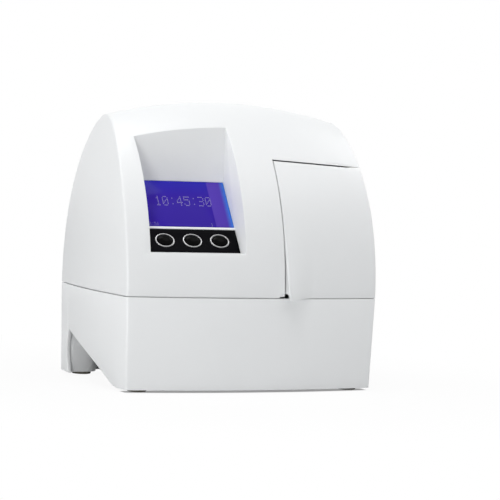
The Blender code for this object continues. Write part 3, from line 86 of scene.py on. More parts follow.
@dataclass(frozen=True)
class Finish:
    """One procedural surface finish.

    Args:
        name: Name of the material.
        colour: Linear base colour.
        roughness: Middle roughness.
        metallic: 1 for bare metal.
        grain: Layout of the fine relief.
        grain_size: Size of one grain, in metres.
        relief: Height of the fine relief, in metres.
        tone: Share by which the colour drifts over the surface.
        tone_size: Size of one patch of that drift, in metres.
        coat: Weight of a clear top coat.
        specular: Level of the surface reflection.
    """

    name: str
    colour: Place
    roughness: float = 0.4
    metallic: float = 0.0
    grain: Grain = Grain.SPARK
    grain_size: float = 0.0006
    relief: float = 0.00001
    tone: float = 0.015
    tone_size: float = 0.06
    coat: float = 0.0
    specular: float = 0.5

    def material(self) -> bpy.types.Material:
        """The finish as a node material, made once.

        Returns:
            The shared material of this finish.
        """
        ready = bpy.data.materials.get(self.name)
        if ready is not None:
            return ready
        made = bpy.data.materials.new(self.name)
        made.use_nodes = True
        made.diffuse_color = (*self.colour, 1)
        nodes, links = made.node_tree.nodes, made.node_tree.links
        shader = nodes["Principled BSDF"]
        shader.inputs["Metallic"].default_value = self.metallic
        shader.inputs["Coat Weight"].default_value = self.coat
        shader.inputs["Specular IOR Level"].default_value = self.specular
        place = nodes.new("ShaderNodeTexCoord").outputs["Object"]
        stretch = nodes.new("ShaderNodeMapping")
        stretch.inputs["Scale"].default_value = self.grain.value
        links.new(place, stretch.inputs["Vector"])
        fine = noise(nodes, links, stretch.outputs["Vector"], 1 / self.grain_size, detail=3)
        drift = noise(nodes, links, place, 1 / self.tone_size, detail=2)
        bump = nodes.new("ShaderNodeBump")
        bump.inputs["Strength"].default_value = 1
        bump.inputs["Distance"].default_value = self.relief
        links.new(fine, bump.inputs["Height"])
        links.new(bump.outputs["Normal"], shader.inputs["Normal"])
        low = [channel * (1 - self.tone) for channel in self.colour]
        high = [min(channel * (1 + self.tone), 1) for channel in self.colour]
        links.new(ramp(nodes, links, drift, tuple(zip(DRIFT_STOPS, (low, high)))), shader.inputs["Base Color"])
        spread = nodes.new("ShaderNodeMapRange")
        spread.inputs["To Min"].default_value = max(self.roughness - ROUGHNESS_SPREAD, LEAST_ROUGHNESS)
        spread.inputs["To Max"].default_value = self.roughness + ROUGHNESS_SPREAD
        links.new(fine, spread.inputs["Value"])
        links.new(spread.outputs["Result"], shader.inputs["Roughness"])
        return made


def noise(nodes: bpy.types.Nodes, links: bpy.types.NodeLinks, place: bpy.types.NodeSocket,
          scale: float, detail: float) -> bpy.types.NodeSocket:
    """Adds one noise pattern.

    Args:
        nodes: Nodes of the material.
        links: Links of the material.
        place: Coordinates that the pattern reads.
        scale: Patterns per metre.
        detail: Octaves of finer pattern.

    Returns:
        The pattern's value, from 0 to 1.
    """
    pattern = nodes.new("ShaderNodeTexNoise")
    pattern.inputs["Scale"].default_value = scale
    pattern.inputs["Detail"].default_value = detail
    links.new(place, pattern.inputs["Vector"])
    return pattern.outputs["Fac"]


def ramp(nodes: bpy.types.Nodes, links: bpy.types.NodeLinks, value: bpy.types.NodeSocket,
         stops: Sequence[tuple[float, Sequence[float]]]) -> bpy.types.NodeSocket:
    """Adds one colour ramp.

    Args:
        nodes: Nodes of the material.
        links: Links of the material.
        value: What the ramp reads.
        stops: Places from 0 to 1, each with its colour.

    Returns:
        The ramp's colour.
    """
    band = nodes.new("ShaderNodeValToRGB")
    elements = band.color_ramp.elements
    while len(elements) < len(stops):
        elements.new(0.5)
    for element, (place, colour) in zip(elements, stops):
        element.position = place
        element.color = (*colour[:3], 1)
    links.new(value, band.inputs["Fac"])
    return band.outputs["Color"]


CASING = Finish("casing_white", (0.84, 0.85, 0.855), 0.34, relief=0.000006, tone=0.008)
LINER = Finish("liner_white", (0.74, 0.76, 0.77), 0.45, relief=0.00001, tone=0.012)
BLACK = Finish("black_plastic", (0.02, 0.02, 0.023), 0.42, grain_size=0.0008, relief=0.00002, tone=0.15)
KEYPAD_BLACK = Finish("keypad_black", (0.004, 0.004, 0.005), 0.40, relief=0.000004, tone=0.15, specular=0.015)
GLOSS_BLACK = Finish("button_gloss", (0.003, 0.003, 0.003), 0.16, relief=0.000002, tone=0.1, specular=0.03)
SILVER = Finish("silver_ring", (0.60, 0.60, 0.60), 0.30, 0.6, Grain.BRUSHED, relief=0.000004)
RUBBER = Finish("foot_rubber", (0.16, 0.15, 0.12), 0.8, grain_size=0.0005, relief=0.00003, tone=0.12,
                tone_size=0.006, specular=0.25)
STEEL = Finish("steel", (0.50, 0.51, 0.52), 0.32, 1.0, Grain.TURNED, tone=0.05)
ALUMINIUM = Finish("aluminium", (0.66, 0.67, 0.68), 0.38, 1.0, Grain.BRUSHED, tone=0.04)
BRASS = Finish("brass", (0.62, 0.47, 0.20), 0.33, 1.0, Grain.TURNED, tone=0.06)
BOARD = Finish("circuit_board", (0.02, 0.14, 0.06), 0.42, grain_size=0.0015, relief=0.00002, tone=0.2,
               tone_size=0.01)
GEAR = Finish("gear_plastic", (0.76, 0.74, 0.66), 0.4, tone=0.03)
SCREEN = Finish("screen_module", (0.04, 0.03, 0.28), 0.25, tone=0.05)
GOLD = Finish("contact_gold", (0.75, 0.56, 0.22), 0.28, 1.0, tone=0.03)
DIGIT = Finish("display_dots", (0.25, 0.21, 0.42), 0.3, tone=0.02)


# Modelling helpers

def start_fresh() -> None:
    """Leaves edit mode with nothing selected."""
    if bpy.context.object is not None and bpy.context.object.mode != "OBJECT":
        bpy.ops.object.mode_set(mode="OBJECT")
    bpy.ops.object.select_all(action="DESELECT")


def take(piece: bpy.types.Object) -> None:
    """Makes one piece the only selected and the active one.

    Args:
        piece: The piece.
    """
    start_fresh()
    piece.select_set(True)
    bpy.context.view_layer.objects.active = piece


def seat(piece: bpy.types.Object, place: Matrix = UNIT) -> bpy.types.Object:
    """Puts a piece at a place and moves that place into its mesh.

    Args:
        piece: The piece.
        place: Where its own axes go.

    Returns:
        The same piece, at the origin, unturned and unscaled.
    """
    take(piece)
    piece.matrix_world = place @ piece.matrix_world
    bpy.ops.object.transform_apply(location=True, rotation=True, scale=True)
    return piece


def pick(piece: bpy.types.Object, kind: str, wanted: Callable[[object], bool]) -> None:
    """Selects faces or edges of a piece in edit mode.

    Args:
        piece: The piece, in edit mode.
        kind: FACE or EDGE.
        wanted: Says of one face or edge whether it is selected.
    """
    bpy.ops.mesh.select_mode(type=kind)
    bpy.ops.mesh.select_all(action="DESELECT")
    shape = bmesh.from_edit_mesh(piece.data)
    for part in (shape.faces if kind == "FACE" else shape.edges):
        if wanted(part):
            part.select_set(True)
    shape.select_flush_mode()
    bmesh.update_edit_mesh(piece.data)


def tidy_faces(piece: bpy.types.Object) -> bpy.types.Object:
    """Merges doubles and turns all faces outwards.

    Args:
        piece: The piece.

    Returns:
        The same piece.
    """
    take(piece)
    bpy.ops.object.mode_set(mode="EDIT")
    bpy.ops.mesh.select_all(action="SELECT")
    bpy.ops.mesh.remove_doubles(threshold=MERGE)
    bpy.ops.mesh.normals_make_consistent(inside=False)
    bpy.ops.object.mode_set(mode="OBJECT")
    return piece


def block(name: str, low: Sequence[float], high: Sequence[float], place: Matrix = UNIT) -> bpy.types.Object:
    """A block between two corners, given in the place's own axes.

    Args:
        name: Name of the block.
        low: Lowest corner.
        high: Highest corner.
        place: Axes that the corners are given in.

    Returns:
        The block.
    """
    start_fresh()
    low, high = Vector(low), Vector(high)
    bpy.ops.mesh.primitive_cube_add(size=1, location=(low + high) / 2, scale=high - low)
    made = bpy.context.object
    made.name = name
    return seat(made, place)


def prism(name: str, outline: Sequence[Point], low: float, high: float, place: Matrix = UNIT) -> bpy.types.Object:
    """A flat outline pulled up into a solid.

    Args:
        name: Name of the solid.
        outline: Corners of the outline, in order.
        low: Height of the outline.
        high: Height of the far end.
        place: Axes of the outline.

    Returns:
        The solid.
    """
    start_fresh()
    bpy.ops.mesh.primitive_circle_add(vertices=len(outline), fill_type="NGON")
    made = bpy.context.object
    made.name = name
    for corner, (across, along) in zip(made.data.vertices, outline):
        corner.co = (across, along, low)
    bpy.ops.object.mode_set(mode="EDIT")
    bpy.ops.mesh.select_all(action="SELECT")
    bpy.ops.mesh.extrude_region_move(TRANSFORM_OT_translate={"value": (0, 0, high - low)})
    bpy.ops.object.mode_set(mode="OBJECT")
    return seat(tidy_faces(made), place)


def lathe(name: str, profile: Sequence[Point], place: Matrix = UNIT, shape: Place = (1, 1, 1),
          steps: int = 64) -> bpy.types.Object:
    """A profile of (radius, height) points spun round the place's Z.

    Args:
        name: Name of the turned piece.
        profile: Points in order, closed on itself where it has no point on the axis.
        place: Axes of the spindle.
        shape: Scale along each axis, to make the round an oval.
        steps: Faces round the spindle.

    Returns:
        The turned piece.
    """
    start_fresh()
    bpy.ops.mesh.primitive_circle_add(vertices=len(profile), fill_type="NOTHING")
    made = bpy.context.object
    made.name = name
    for corner, (radius, height) in zip(made.data.vertices, profile):
        corner.co = (radius, 0, height)
    bpy.ops.object.mode_set(mode="EDIT")
    if profile[0][0] == 0:
        pick(made, "EDGE", lambda edge: all(end.co.x == 0 for end in edge.verts))
        bpy.ops.mesh.delete(type="ONLY_FACE")
        pick(made, "EDGE", lambda edge: all(end.co.x == 0 for end in edge.verts))
        bpy.ops.mesh.delete(type="EDGE_FACE")
    bpy.ops.mesh.select_all(action="SELECT")
    bpy.ops.mesh.spin(steps=steps, angle=math.tau, center=(0, 0, 0), axis=(0, 0, 1))
    bpy.ops.object.mode_set(mode="OBJECT")
    made.scale = shape
    return seat(tidy_faces(made), place)


def rod(radius: float, low: float, high: float, round_off: float = 0.0) -> list[Point]:
    """Profile of a plain rod, with softened ends where asked.

    Args:
        radius: Radius of the rod.
        low: Height of its lower end.
        high: Height of its upper end.
        round_off: Radius of the rounding at both ends.

    Returns:
        Points from the upper end's middle to the lower end's.
    """
    if round_off <= 0:
        return [(0, high), (radius, high), (radius, low), (0, low)]
    turns = [math.pi / 2 * step / 4 for step in range(5)]
    top = [(radius - round_off * (1 - math.sin(turn)), high - round_off * (1 - math.cos(turn))) for turn in turns]
    foot = [(radius - round_off * (1 - math.cos(turn)), low + round_off * (1 - math.sin(turn))) for turn in turns]
    return [(0, high), *top, *foot, (0, low)]


def superoval(middle: Point, reach: Point, power: float, steps: int = 96) -> list[Point]:
    """Outline between an oval and a rectangle.

    Args:
        middle: Its middle.
        reach: Half of its width and of its depth.
        power: 2 for an oval, and more for squarer corners.
        steps: Corners round it.

    Returns:
        Its corners, in order.
    """
    points = []
    for step in range(steps):
        turn = math.tau * step / steps
        points.append(tuple(centre + half * math.copysign(abs(share) ** (2 / power), share)
                            for centre, half, share in zip(middle, reach, (math.cos(turn), math.sin(turn)))))
    return points


def combine(piece: bpy.types.Object, tools: Sequence[bpy.types.Object], operation: str) -> bpy.types.Object:
    """Joins, cuts or trims a piece with tools, which are used up.

    Args:
        piece: The piece that stays.
        tools: The pieces that shape it.
        operation: UNION, DIFFERENCE or INTERSECT.

    Returns:
        The shaped piece.
    """
    for tool in tools:
        take(piece)
        step = piece.modifiers.new("shape", "BOOLEAN")
        step.operation, step.solver, step.object = operation, "EXACT", tool
        bpy.ops.object.modifier_apply(modifier=step.name)
        bpy.data.objects.remove(tool, do_unlink=True)
    return piece


def cut(piece: bpy.types.Object, *tools: bpy.types.Object) -> bpy.types.Object:
    """Takes tools out of a piece."""
    return combine(piece, tools, "DIFFERENCE")


def join(piece: bpy.types.Object, *tools: bpy.types.Object) -> bpy.types.Object:
    """Grows a piece by tools."""
    return combine(piece, tools, "UNION")


def trim(piece: bpy.types.Object, tool: bpy.types.Object) -> bpy.types.Object:
    """Keeps of a piece what lies in a tool."""
    return combine(piece, [tool], "INTERSECT")


def is_sharp(edge: bmesh.types.BMEdge, angle: float) -> bool:
    """Whether two faces meet at an edge more sharply than an angle, in degrees."""
    return len(edge.link_faces) == 2 and edge.calc_face_angle(0) > math.radians(angle)


def grazes(edge: bmesh.types.BMEdge, angle: float) -> bool:
    """Whether a plain edge runs close along a sharp one.

    Args:
        edge: The edge.
        angle: Sharpest angle that stays as it is, in degrees.

    Returns:
        True where the two share a corner and nearly a direction.
    """
    if is_sharp(edge, angle):
        return False
    for corner in edge.verts:
        along = edge.other_vert(corner).co - corner.co
        for rim in corner.link_edges:
            if is_sharp(rim, angle) and along.angle(rim.other_vert(corner).co - corner.co, math.pi) < GRAZE:
                return True
    return False


def make_room(piece: bpy.types.Object, width: float, angle: float) -> None:
    """Clears the faces beside sharp edges, so that their rounding doesn't fold over.

    Args:
        piece: The piece.
        width: Width of the rounding.
        angle: Sharpest angle that stays as it is, in degrees.
    """
    shape = bmesh.new()
    shape.from_mesh(piece.data)
    rims = {corner for edge in shape.edges if is_sharp(edge, angle) for corner in edge.verts}
    moves = {}
    for edge in shape.edges:
        first, second = edge.verts
        if edge.calc_length() < 2 * width and (first in rims) != (second in rims):
            moves[second if first in rims else first] = first if first in rims else second
    bmesh.ops.weld_verts(shape, targetmap=moves)
    shape.to_mesh(piece.data)
    shape.free()
    take(piece)
    bpy.ops.object.mode_set(mode="EDIT")
    pick(piece, "EDGE", lambda edge: grazes(edge, angle))
    bpy.ops.mesh.dissolve_edges(use_verts=False)
    bpy.ops.object.mode_set(mode="OBJECT")


def soften(piece: bpy.types.Object, width: float, segments: int = 2, angle: float = 35,
           weld: float = 0.0, clamp: bool = True) -> bpy.types.Object:
    """Rounds the sharp edges of a piece and shades it smooth.

    Args:
        piece: The piece.
        width: Width of the rounding.
        segments: Faces across the rounding.
        angle: Sharpest angle that stays as it is, in degrees.
        weld: Distance within which corners are merged first.
        clamp: Whether the rounding shrinks where it has no room.

    Returns:
        The softened piece.
    """
    take(piece)
    if weld > 0:
        step = piece.modifiers.new("weld", "WELD")
        step.merge_threshold = weld
        bpy.ops.object.modifier_apply(modifier=step.name)
        make_room(piece, width, angle)
    if width > 0:
        step = piece.modifiers.new("soft_edges", "BEVEL")
        step.width, step.segments = width, segments
        step.limit_method, step.angle_limit = "ANGLE", math.radians(angle)
        step.use_clamp_overlap = clamp
        step.miter_outer = "MITER_ARC" if segments > 1 else "MITER_SHARP"
        bpy.ops.object.modifier_apply(modifier=step.name)
    bpy.ops.object.shade_smooth_by_angle(angle=math.radians(angle))
    return piece


def present(piece: bpy.types.Object, name: str, body: str, finish: Finish | bpy.types.Material,
            stands_for: Sequence[str] = ()) -> bpy.types.Object:
    """Names, finishes and hangs a finished piece on its body.

    Args:
        piece: The piece, in place.
        name: Its name.
        body: The body it moves with.
        finish: Its finish, or a material made for it alone.
        stands_for: The solids that it replaces.

    Returns:
        The piece.
    """
    piece.name = piece.data.name = name
    piece.data.materials.clear()
    piece.data.materials.append(finish.material() if isinstance(finish, Finish) else finish)
    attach(piece, body)
    if stands_for:
        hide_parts(*stands_for)
    LOG.info("%s: %d faces on %s", name, len(piece.data.polygons), body)
    return piece


# The crowned body shared by base, cover and door

@lru_cache(maxsize=None)
def run_at_rise(shares: tuple, rise: float) -> float:
    """Run of a rail at a rise, both as shares of the rail.

    Args:
        shares: The rail's four control points.
        rise: Share of the height.

    Returns:
        Share of the depth.
    """
    low, high = 0.0, 1.0
    for _ in range(HALVINGS):
        middle = (low + high) / 2
        if on_rail(shares, middle)[1] < rise:
            low = middle
        else:
            high = middle
    return on_rail(shares, low)[0]


def on_rail(shares: tuple, t: float) -> Point:
    """Point of a rail at its parameter, as (run, rise)."""
    weights = ((1 - t) ** 3, 3 * t * (1 - t) ** 2, 3 * t * t * (1 - t), t ** 3)
    return (sum(weight * point[0] for weight, point in zip(weights, shares)),
            sum(weight * point[1] for weight, point in zip(weights, shares)))


@dataclass(frozen=True)
class CrownedForm:
    """Sizes of the crowned body, and the outlines that follow from them."""

    half: float = 0.098
    depth: float = 0.1293
    side_bulge: float = 0.0045
    front_bulge: float = 0.0073
    crown: float = 0.0110
    lean: float = 0.0114
    lean_power: float = 2.6
    draft: float = 0.022
    fillet: float = 0.0018
    seam: float = 0.0680
    skirt: float = 0.0020
    apex: float = 0.1940
    apex_share: float = 0.552
    wall: float = 0.0025
    front_rail: tuple = ((0, 0), (0.021, 0.606), (0.682, 1), (1, 1))
    back_rail: tuple = ((0, 0), (0, 0.557), (0.565, 1), (1, 1))
    door_left: float = 0.0216
    lip_depth: float = 0.0070
    lip_width: float = 0.0230
    lip_height: float = 0.0520
    lip_power: float = 1.6
    room_beside: float = 0.0009
    half_stations: int = 32
    side_steps: int = 23
    inner_rows: int = 26
    low_rows: int = 3
    beside_door: tuple = (0.03, 0.08, 0.14, 0.20, 0.25, 0.365, 0.43, 0.50, 0.57, 0.64, 0.71, 0.78, 0.85, 0.91, 0.96)

    @property
    def back_y(self) -> float:
        """Depth of the back at the seam."""
        edge = self.front_bulge * (1 - (self.door_left / self.half) ** 2)
        return (self.depth + edge + self.lip_depth) / 2

    @property
    def front_y(self) -> float:
        """Depth of the front corners at the seam."""
        return self.back_y - self.depth

    @property
    def middle_y(self) -> float:
        """Depth of the body's middle."""
        return (self.front_y + self.back_y) / 2

    @property
    def apex_y(self) -> float:
        """Depth of the ridge."""
        return self.front_y + self.apex_share * self.depth

    def width_at(self, y: float, rise: float, z: float, inset: float = 0.0) -> float:
        """Half of the body's width.

        Args:
            y: Depth.
            rise: Share of the way from the seam to the ridge.
            z: Height.
            inset: How far inside the surface.

        Returns:
            Half of the width there.
        """
        bow = 1 - ((y - self.middle_y) / (self.depth / 2)) ** 2
        width = self.half + self.side_bulge * bow - self.lean * max(rise, 0) ** self.lean_power
        drop = max(self.seam - z, 0) / (self.seam - self.skirt)
        return width * (1 - self.draft * drop) - inset

    def lip(self, x: float, z: float) -> float:
        """How far the door's finger lip stands out.

        Args:
            x: Place across the front.
            z: Height.

        Returns:
            Distance that it stands proud of the crowned front.
        """
        across = min(max((x - self.door_left) / self.lip_width, 0), 1)
        up = min(max((z - self.seam) / self.lip_height, 0), 1)
        return self.lip_depth * (1 - across * across * (3 - 2 * across)) * (1 - up) ** self.lip_power

    def front_at(self, x: float, z: float) -> float:
        """Depth of the crowned front, without the finger lip.

        Args:
            x: Place across the front.
            z: Height.

        Returns:
            Depth of the surface.
        """
        rise = max(z - self.seam, 0) / (self.apex - self.seam)
        rail = self.front_y + (self.apex_y - self.front_y) * run_at_rise(self.front_rail, rise)
        share = x / self.width_at(rail, rise, z)
        return rail - self.front_bulge * (1 - rise * rise) * (1 - share * share)

    def even_stations(self) -> list[float]:
        """Even places across, from -1 to 1."""
        return [step / self.half_stations - 1 for step in range(2 * self.half_stations + 1)]

    def stations_off(self, marks: Sequence[float], narrowest: float) -> list[float]:
        """Even places across, moved off the lines that a cut will follow.

        Args:
            marks: Those lines, as distances from the middle.
            narrowest: Half of the body's width where the cuts end.

        Returns:
            Places from -1 to 1.
        """
        room = self.room_beside / self.half
        places = self.even_stations()
        for mark in marks:
            ends = sorted((mark / (self.half - self.fillet), mark / (narrowest - self.fillet)))
            low, high = ends[0] - room, ends[1] + room
            places = [(low if place - low < high - place else high) if low < place < high else place
                      for place in places]
        return sorted(set(places))

    def levels(self, low: float, high: float, inset: float, steps: int) -> list[tuple]:
        """Rows of (height, front depth, back depth, rise) between two heights.

        Args:
            low: Lowest height.
            high: Highest height.
            inset: How far inside the surface.
            steps: Rows above the seam, and half as many below it.

        Returns:
            The rows, lowest first.
        """
        rows = []
        if low < self.seam:
            top = min(high, self.seam)
            below = max(steps // 3, 1)
            for step in range(below + 1):
                rows.append((low + (top - low) * step / below, self.front_y + inset, self.back_y - inset, 0.0))
        if high <= self.seam:
            return rows
        for step in range(steps + 1):
            rise = on_rail(self.front_rail, step / steps)[1]
            z = self.seam + rise * (self.apex - inset - self.seam)
            if rows and z <= rows[-1][0] + MERGE:
                continue
            front_run, back_run = run_at_rise(self.front_rail, rise), run_at_rise(self.back_rail, rise)
            front = self.front_y + inset + (self.apex_y - self.front_y - inset) * front_run
            back = self.back_y - inset - (self.back_y - inset - self.apex_y) * back_run
            if step == steps:
                front = back = self.apex_y
            rows.append((z, front, back, rise))
        return rows

    def edge_shift(self, rise: float, on_front: bool, fillet: float, angle: float) -> Point:
        """Shift of a rail point round the edge's rounding.

        Args:
            rise: Share of the height.
            on_front: Front rail, or else back.
            fillet: Radius of the rounding.
            angle: Angle round it.

        Returns:
            Shift in depth and in height.
        """
        inward = fillet * (1 - math.cos(angle))
        if rise >= 1:
            return 0.0, -inward
        shares = self.front_rail if on_front else self.back_rail
        below, above = max(rise - 0.001, 0), min(rise + 0.001, 1)
        run = run_at_rise(shares, above) - run_at_rise(shares, below)
        run *= (self.apex_y - self.front_y) if on_front else (self.back_y - self.apex_y)
        climb = (above - below) * (self.apex - self.seam)
        length = math.hypot(run, climb)
        towards, down = (climb / length, run / length) if rise > 0 else (1, 0)
        return (inward * towards if on_front else -inward * towards), -inward * down

    def ring(self, row: tuple, stations: Sequence[float], inset: float, rounding: int, lipped: bool,
             along: Sequence[float]) -> list[Place]:
        """One level outline: front, right side, back, left side.

        Args:
            row: Height, front depth, back depth and rise.
            stations: Places across, from -1 to 1.
            inset: How far inside the surface.
            rounding: Faces round each upright edge, or 0 for a sharp one.
            lipped: Whether the door's finger lip is on the front.
            along: Places along each side, from 0 at the front to 1.

        Returns:
            The outline's points.
        """
        z, front, back, rise = row
        fillet = self.fillet if rounding else 0.0
        points = []

        def long_edge(on_front: bool) -> None:
            """Adds the points of the front or back.

            Args:
                on_front: Front, or else back.
            """
            y = front if on_front else back
            reach = self.width_at(y, rise, z, inset) - fillet
            for station in (stations if on_front else list(reversed(stations))):
                flat = 1 - station * station
                x = station * reach
                bulge = self.front_bulge * (1 - rise * rise) * flat if on_front else 0
                proud = self.lip(x, z) if lipped and on_front else 0
                points.append((x, y - bulge - proud, z + self.crown * rise * flat))

        def corner(on_front: bool, right: bool) -> None:
            """Adds the points round one upright edge.

            Args:
                on_front: Front, or else back.
                right: Right, or else left.
            """
            y = front if on_front else back
            turns = [math.pi / 2 * step / rounding for step in range(1, rounding + 1)]
            for turn in (turns if on_front == right else reversed(turns)):
                shift_y, shift_z = self.edge_shift(rise, on_front, fillet, turn)
                x = self.width_at(y + shift_y, rise, z + shift_z, inset) - fillet * (1 - math.sin(turn))
                points.append((x if right else -x, y + shift_y, z + shift_z))

        def side(right: bool) -> None:
            """Adds the points of one side.

            Args:
                right: Right, or else left.
            """
            shift_y, shift_z = self.edge_shift(rise, True, fillet, math.pi / 2)
            back_shift, back_z = self.edge_shift(rise, False, fillet, math.pi / 2)
            start, stop = front + shift_y, back + back_shift
            if start > stop:
                start = stop = (start + stop) / 2
            for share in (along if right else reversed(along)):
                y = start + (stop - start) * share
                x = self.width_at(y, rise, z, inset)
                points.append((x if right else -x, y, z + shift_z + (back_z - shift_z) * share))

        long_edge(True)
        if rounding:
            corner(True, True)
        side(True)
        if rounding:
            corner(False, True)
        long_edge(False)
        if rounding:
            corner(False, False)
        side(False)
        if rounding:
            corner(True, False)
        return points

    def solid(self, name: str, low: float, high: float, inset: float = 0.0, rounding: int = 5,
              stations: Sequence[float] = (), lipped: bool = False, steps: int = 44,
              along: Sequence[float] = ()) -> bpy.types.Object:
        """The crowned body between two heights. Its double curve is lofted through level outlines.

        Args:
            name: Name of the solid.
            low: Lowest height.
            high: Highest height.
            inset: How far inside the surface.
            rounding: Faces round each upright edge, or 0 for a sharp one.
            stations: Places across, or none for even ones.
            lipped: Whether the door's finger lip is on the front.
            steps: Rows above the seam.
            along: Places along each side, or none for even ones.

        Returns:
            The solid.
        """
        across = list(stations) or self.even_stations()
        sides = list(along) or [step / self.side_steps for step in range(1, self.side_steps)]
        shape = bmesh.new()
        rings = [[shape.verts.new(point) for point in self.ring(row, across, inset, rounding, lipped, sides)]
                 for row in self.levels(low, high, inset, steps)]
        for lower, upper in zip(rings, rings[1:]):
            for index, corner in enumerate(lower):
                following = (index + 1) % len(lower)
                shape.faces.new((corner, lower[following], upper[following], upper[index]))
        shape.faces.new(list(reversed(rings[0])))
        if high <= self.seam:
            shape.faces.new(rings[-1])
        bmesh.ops.remove_doubles(shape, verts=shape.verts, dist=MERGE)
        bmesh.ops.dissolve_degenerate(shape, edges=shape.edges, dist=MERGE)
        bmesh.ops.recalc_face_normals(shape, faces=shape.faces)
        mesh = bpy.data.meshes.new(name)
        shape.to_mesh(mesh)
        shape.free()
        made = bpy.data.objects.new(name, mesh)
        bpy.context.scene.collection.objects.link(made)
        return made


FORM = CrownedForm()


@dataclass(frozen=True)
class Recess:
    """The sloping display recess and the axes of its floor."""

    centre: float = -0.0453
    width: float = 0.0713
    ledge_z: float = 0.0987
    ledge_setback: float = 0.0050
    slope: float = 0.0608
    tilt: float = math.radians(36.2)
    wall: float = 0.0020
    seat: float = 0.0018
    keypad: float = 0.0194
    strip: float = 0.0024
    button_width: float = 0.0122
    button_height: float = 0.0086
    button_up: float = 0.0100
    spacing: float = 0.0212
    gap: float = 0.0003
    divider_lap: float = 0.001
    divider_proud: float = 0.0002

    def axes(self, x: float = 0.0, up: float = 0.0) -> Matrix:
        """Axes of the recess floor: X across, Y up the slope, Z out of it.

        Args:
            x: Shift across.
            up: Shift up the slope.

        Returns:
            The axes as a matrix.
        """
        sine, cosine = math.sin(self.tilt), math.cos(self.tilt)
        turn = Matrix(((1, 0, 0, 0), (0, sine, -cosine, 0), (0, cosine, sine, 0), (0, 0, 0, 1)))
        place = Matrix.Translation((self.centre + x, FORM.front_y + self.ledge_setback, self.ledge_z))
        return place @ turn @ Matrix.Translation((0, up, 0))

    def outline(self, seat_depth: float, wall: float) -> list[Point]:
        """Side outline of the recess.

        Args:
            seat_depth: Depth of the floor under the panels' face.
            wall: How far the outline is grown.

        Returns:
            Corners as (depth, height).
        """
        def at(up: float, out: float) -> Point:
            """Depth and height of a place given up the slope and out of it."""
            place = self.axes() @ Vector((0, up, out))
            return place.y, place.z

        low = (FORM.front_y + self.ledge_setback, self.ledge_z - wall)
        back_y, back_z = at(self.slope, 0)
        return [(-FAR, low[1]), low, at(-wall, -seat_depth - wall), at(self.slope + wall, -seat_depth - wall),
                (back_y + wall, back_z + wall), (back_y + wall, FAR), (-FAR, FAR)]


RECESS = Recess()


# Housing

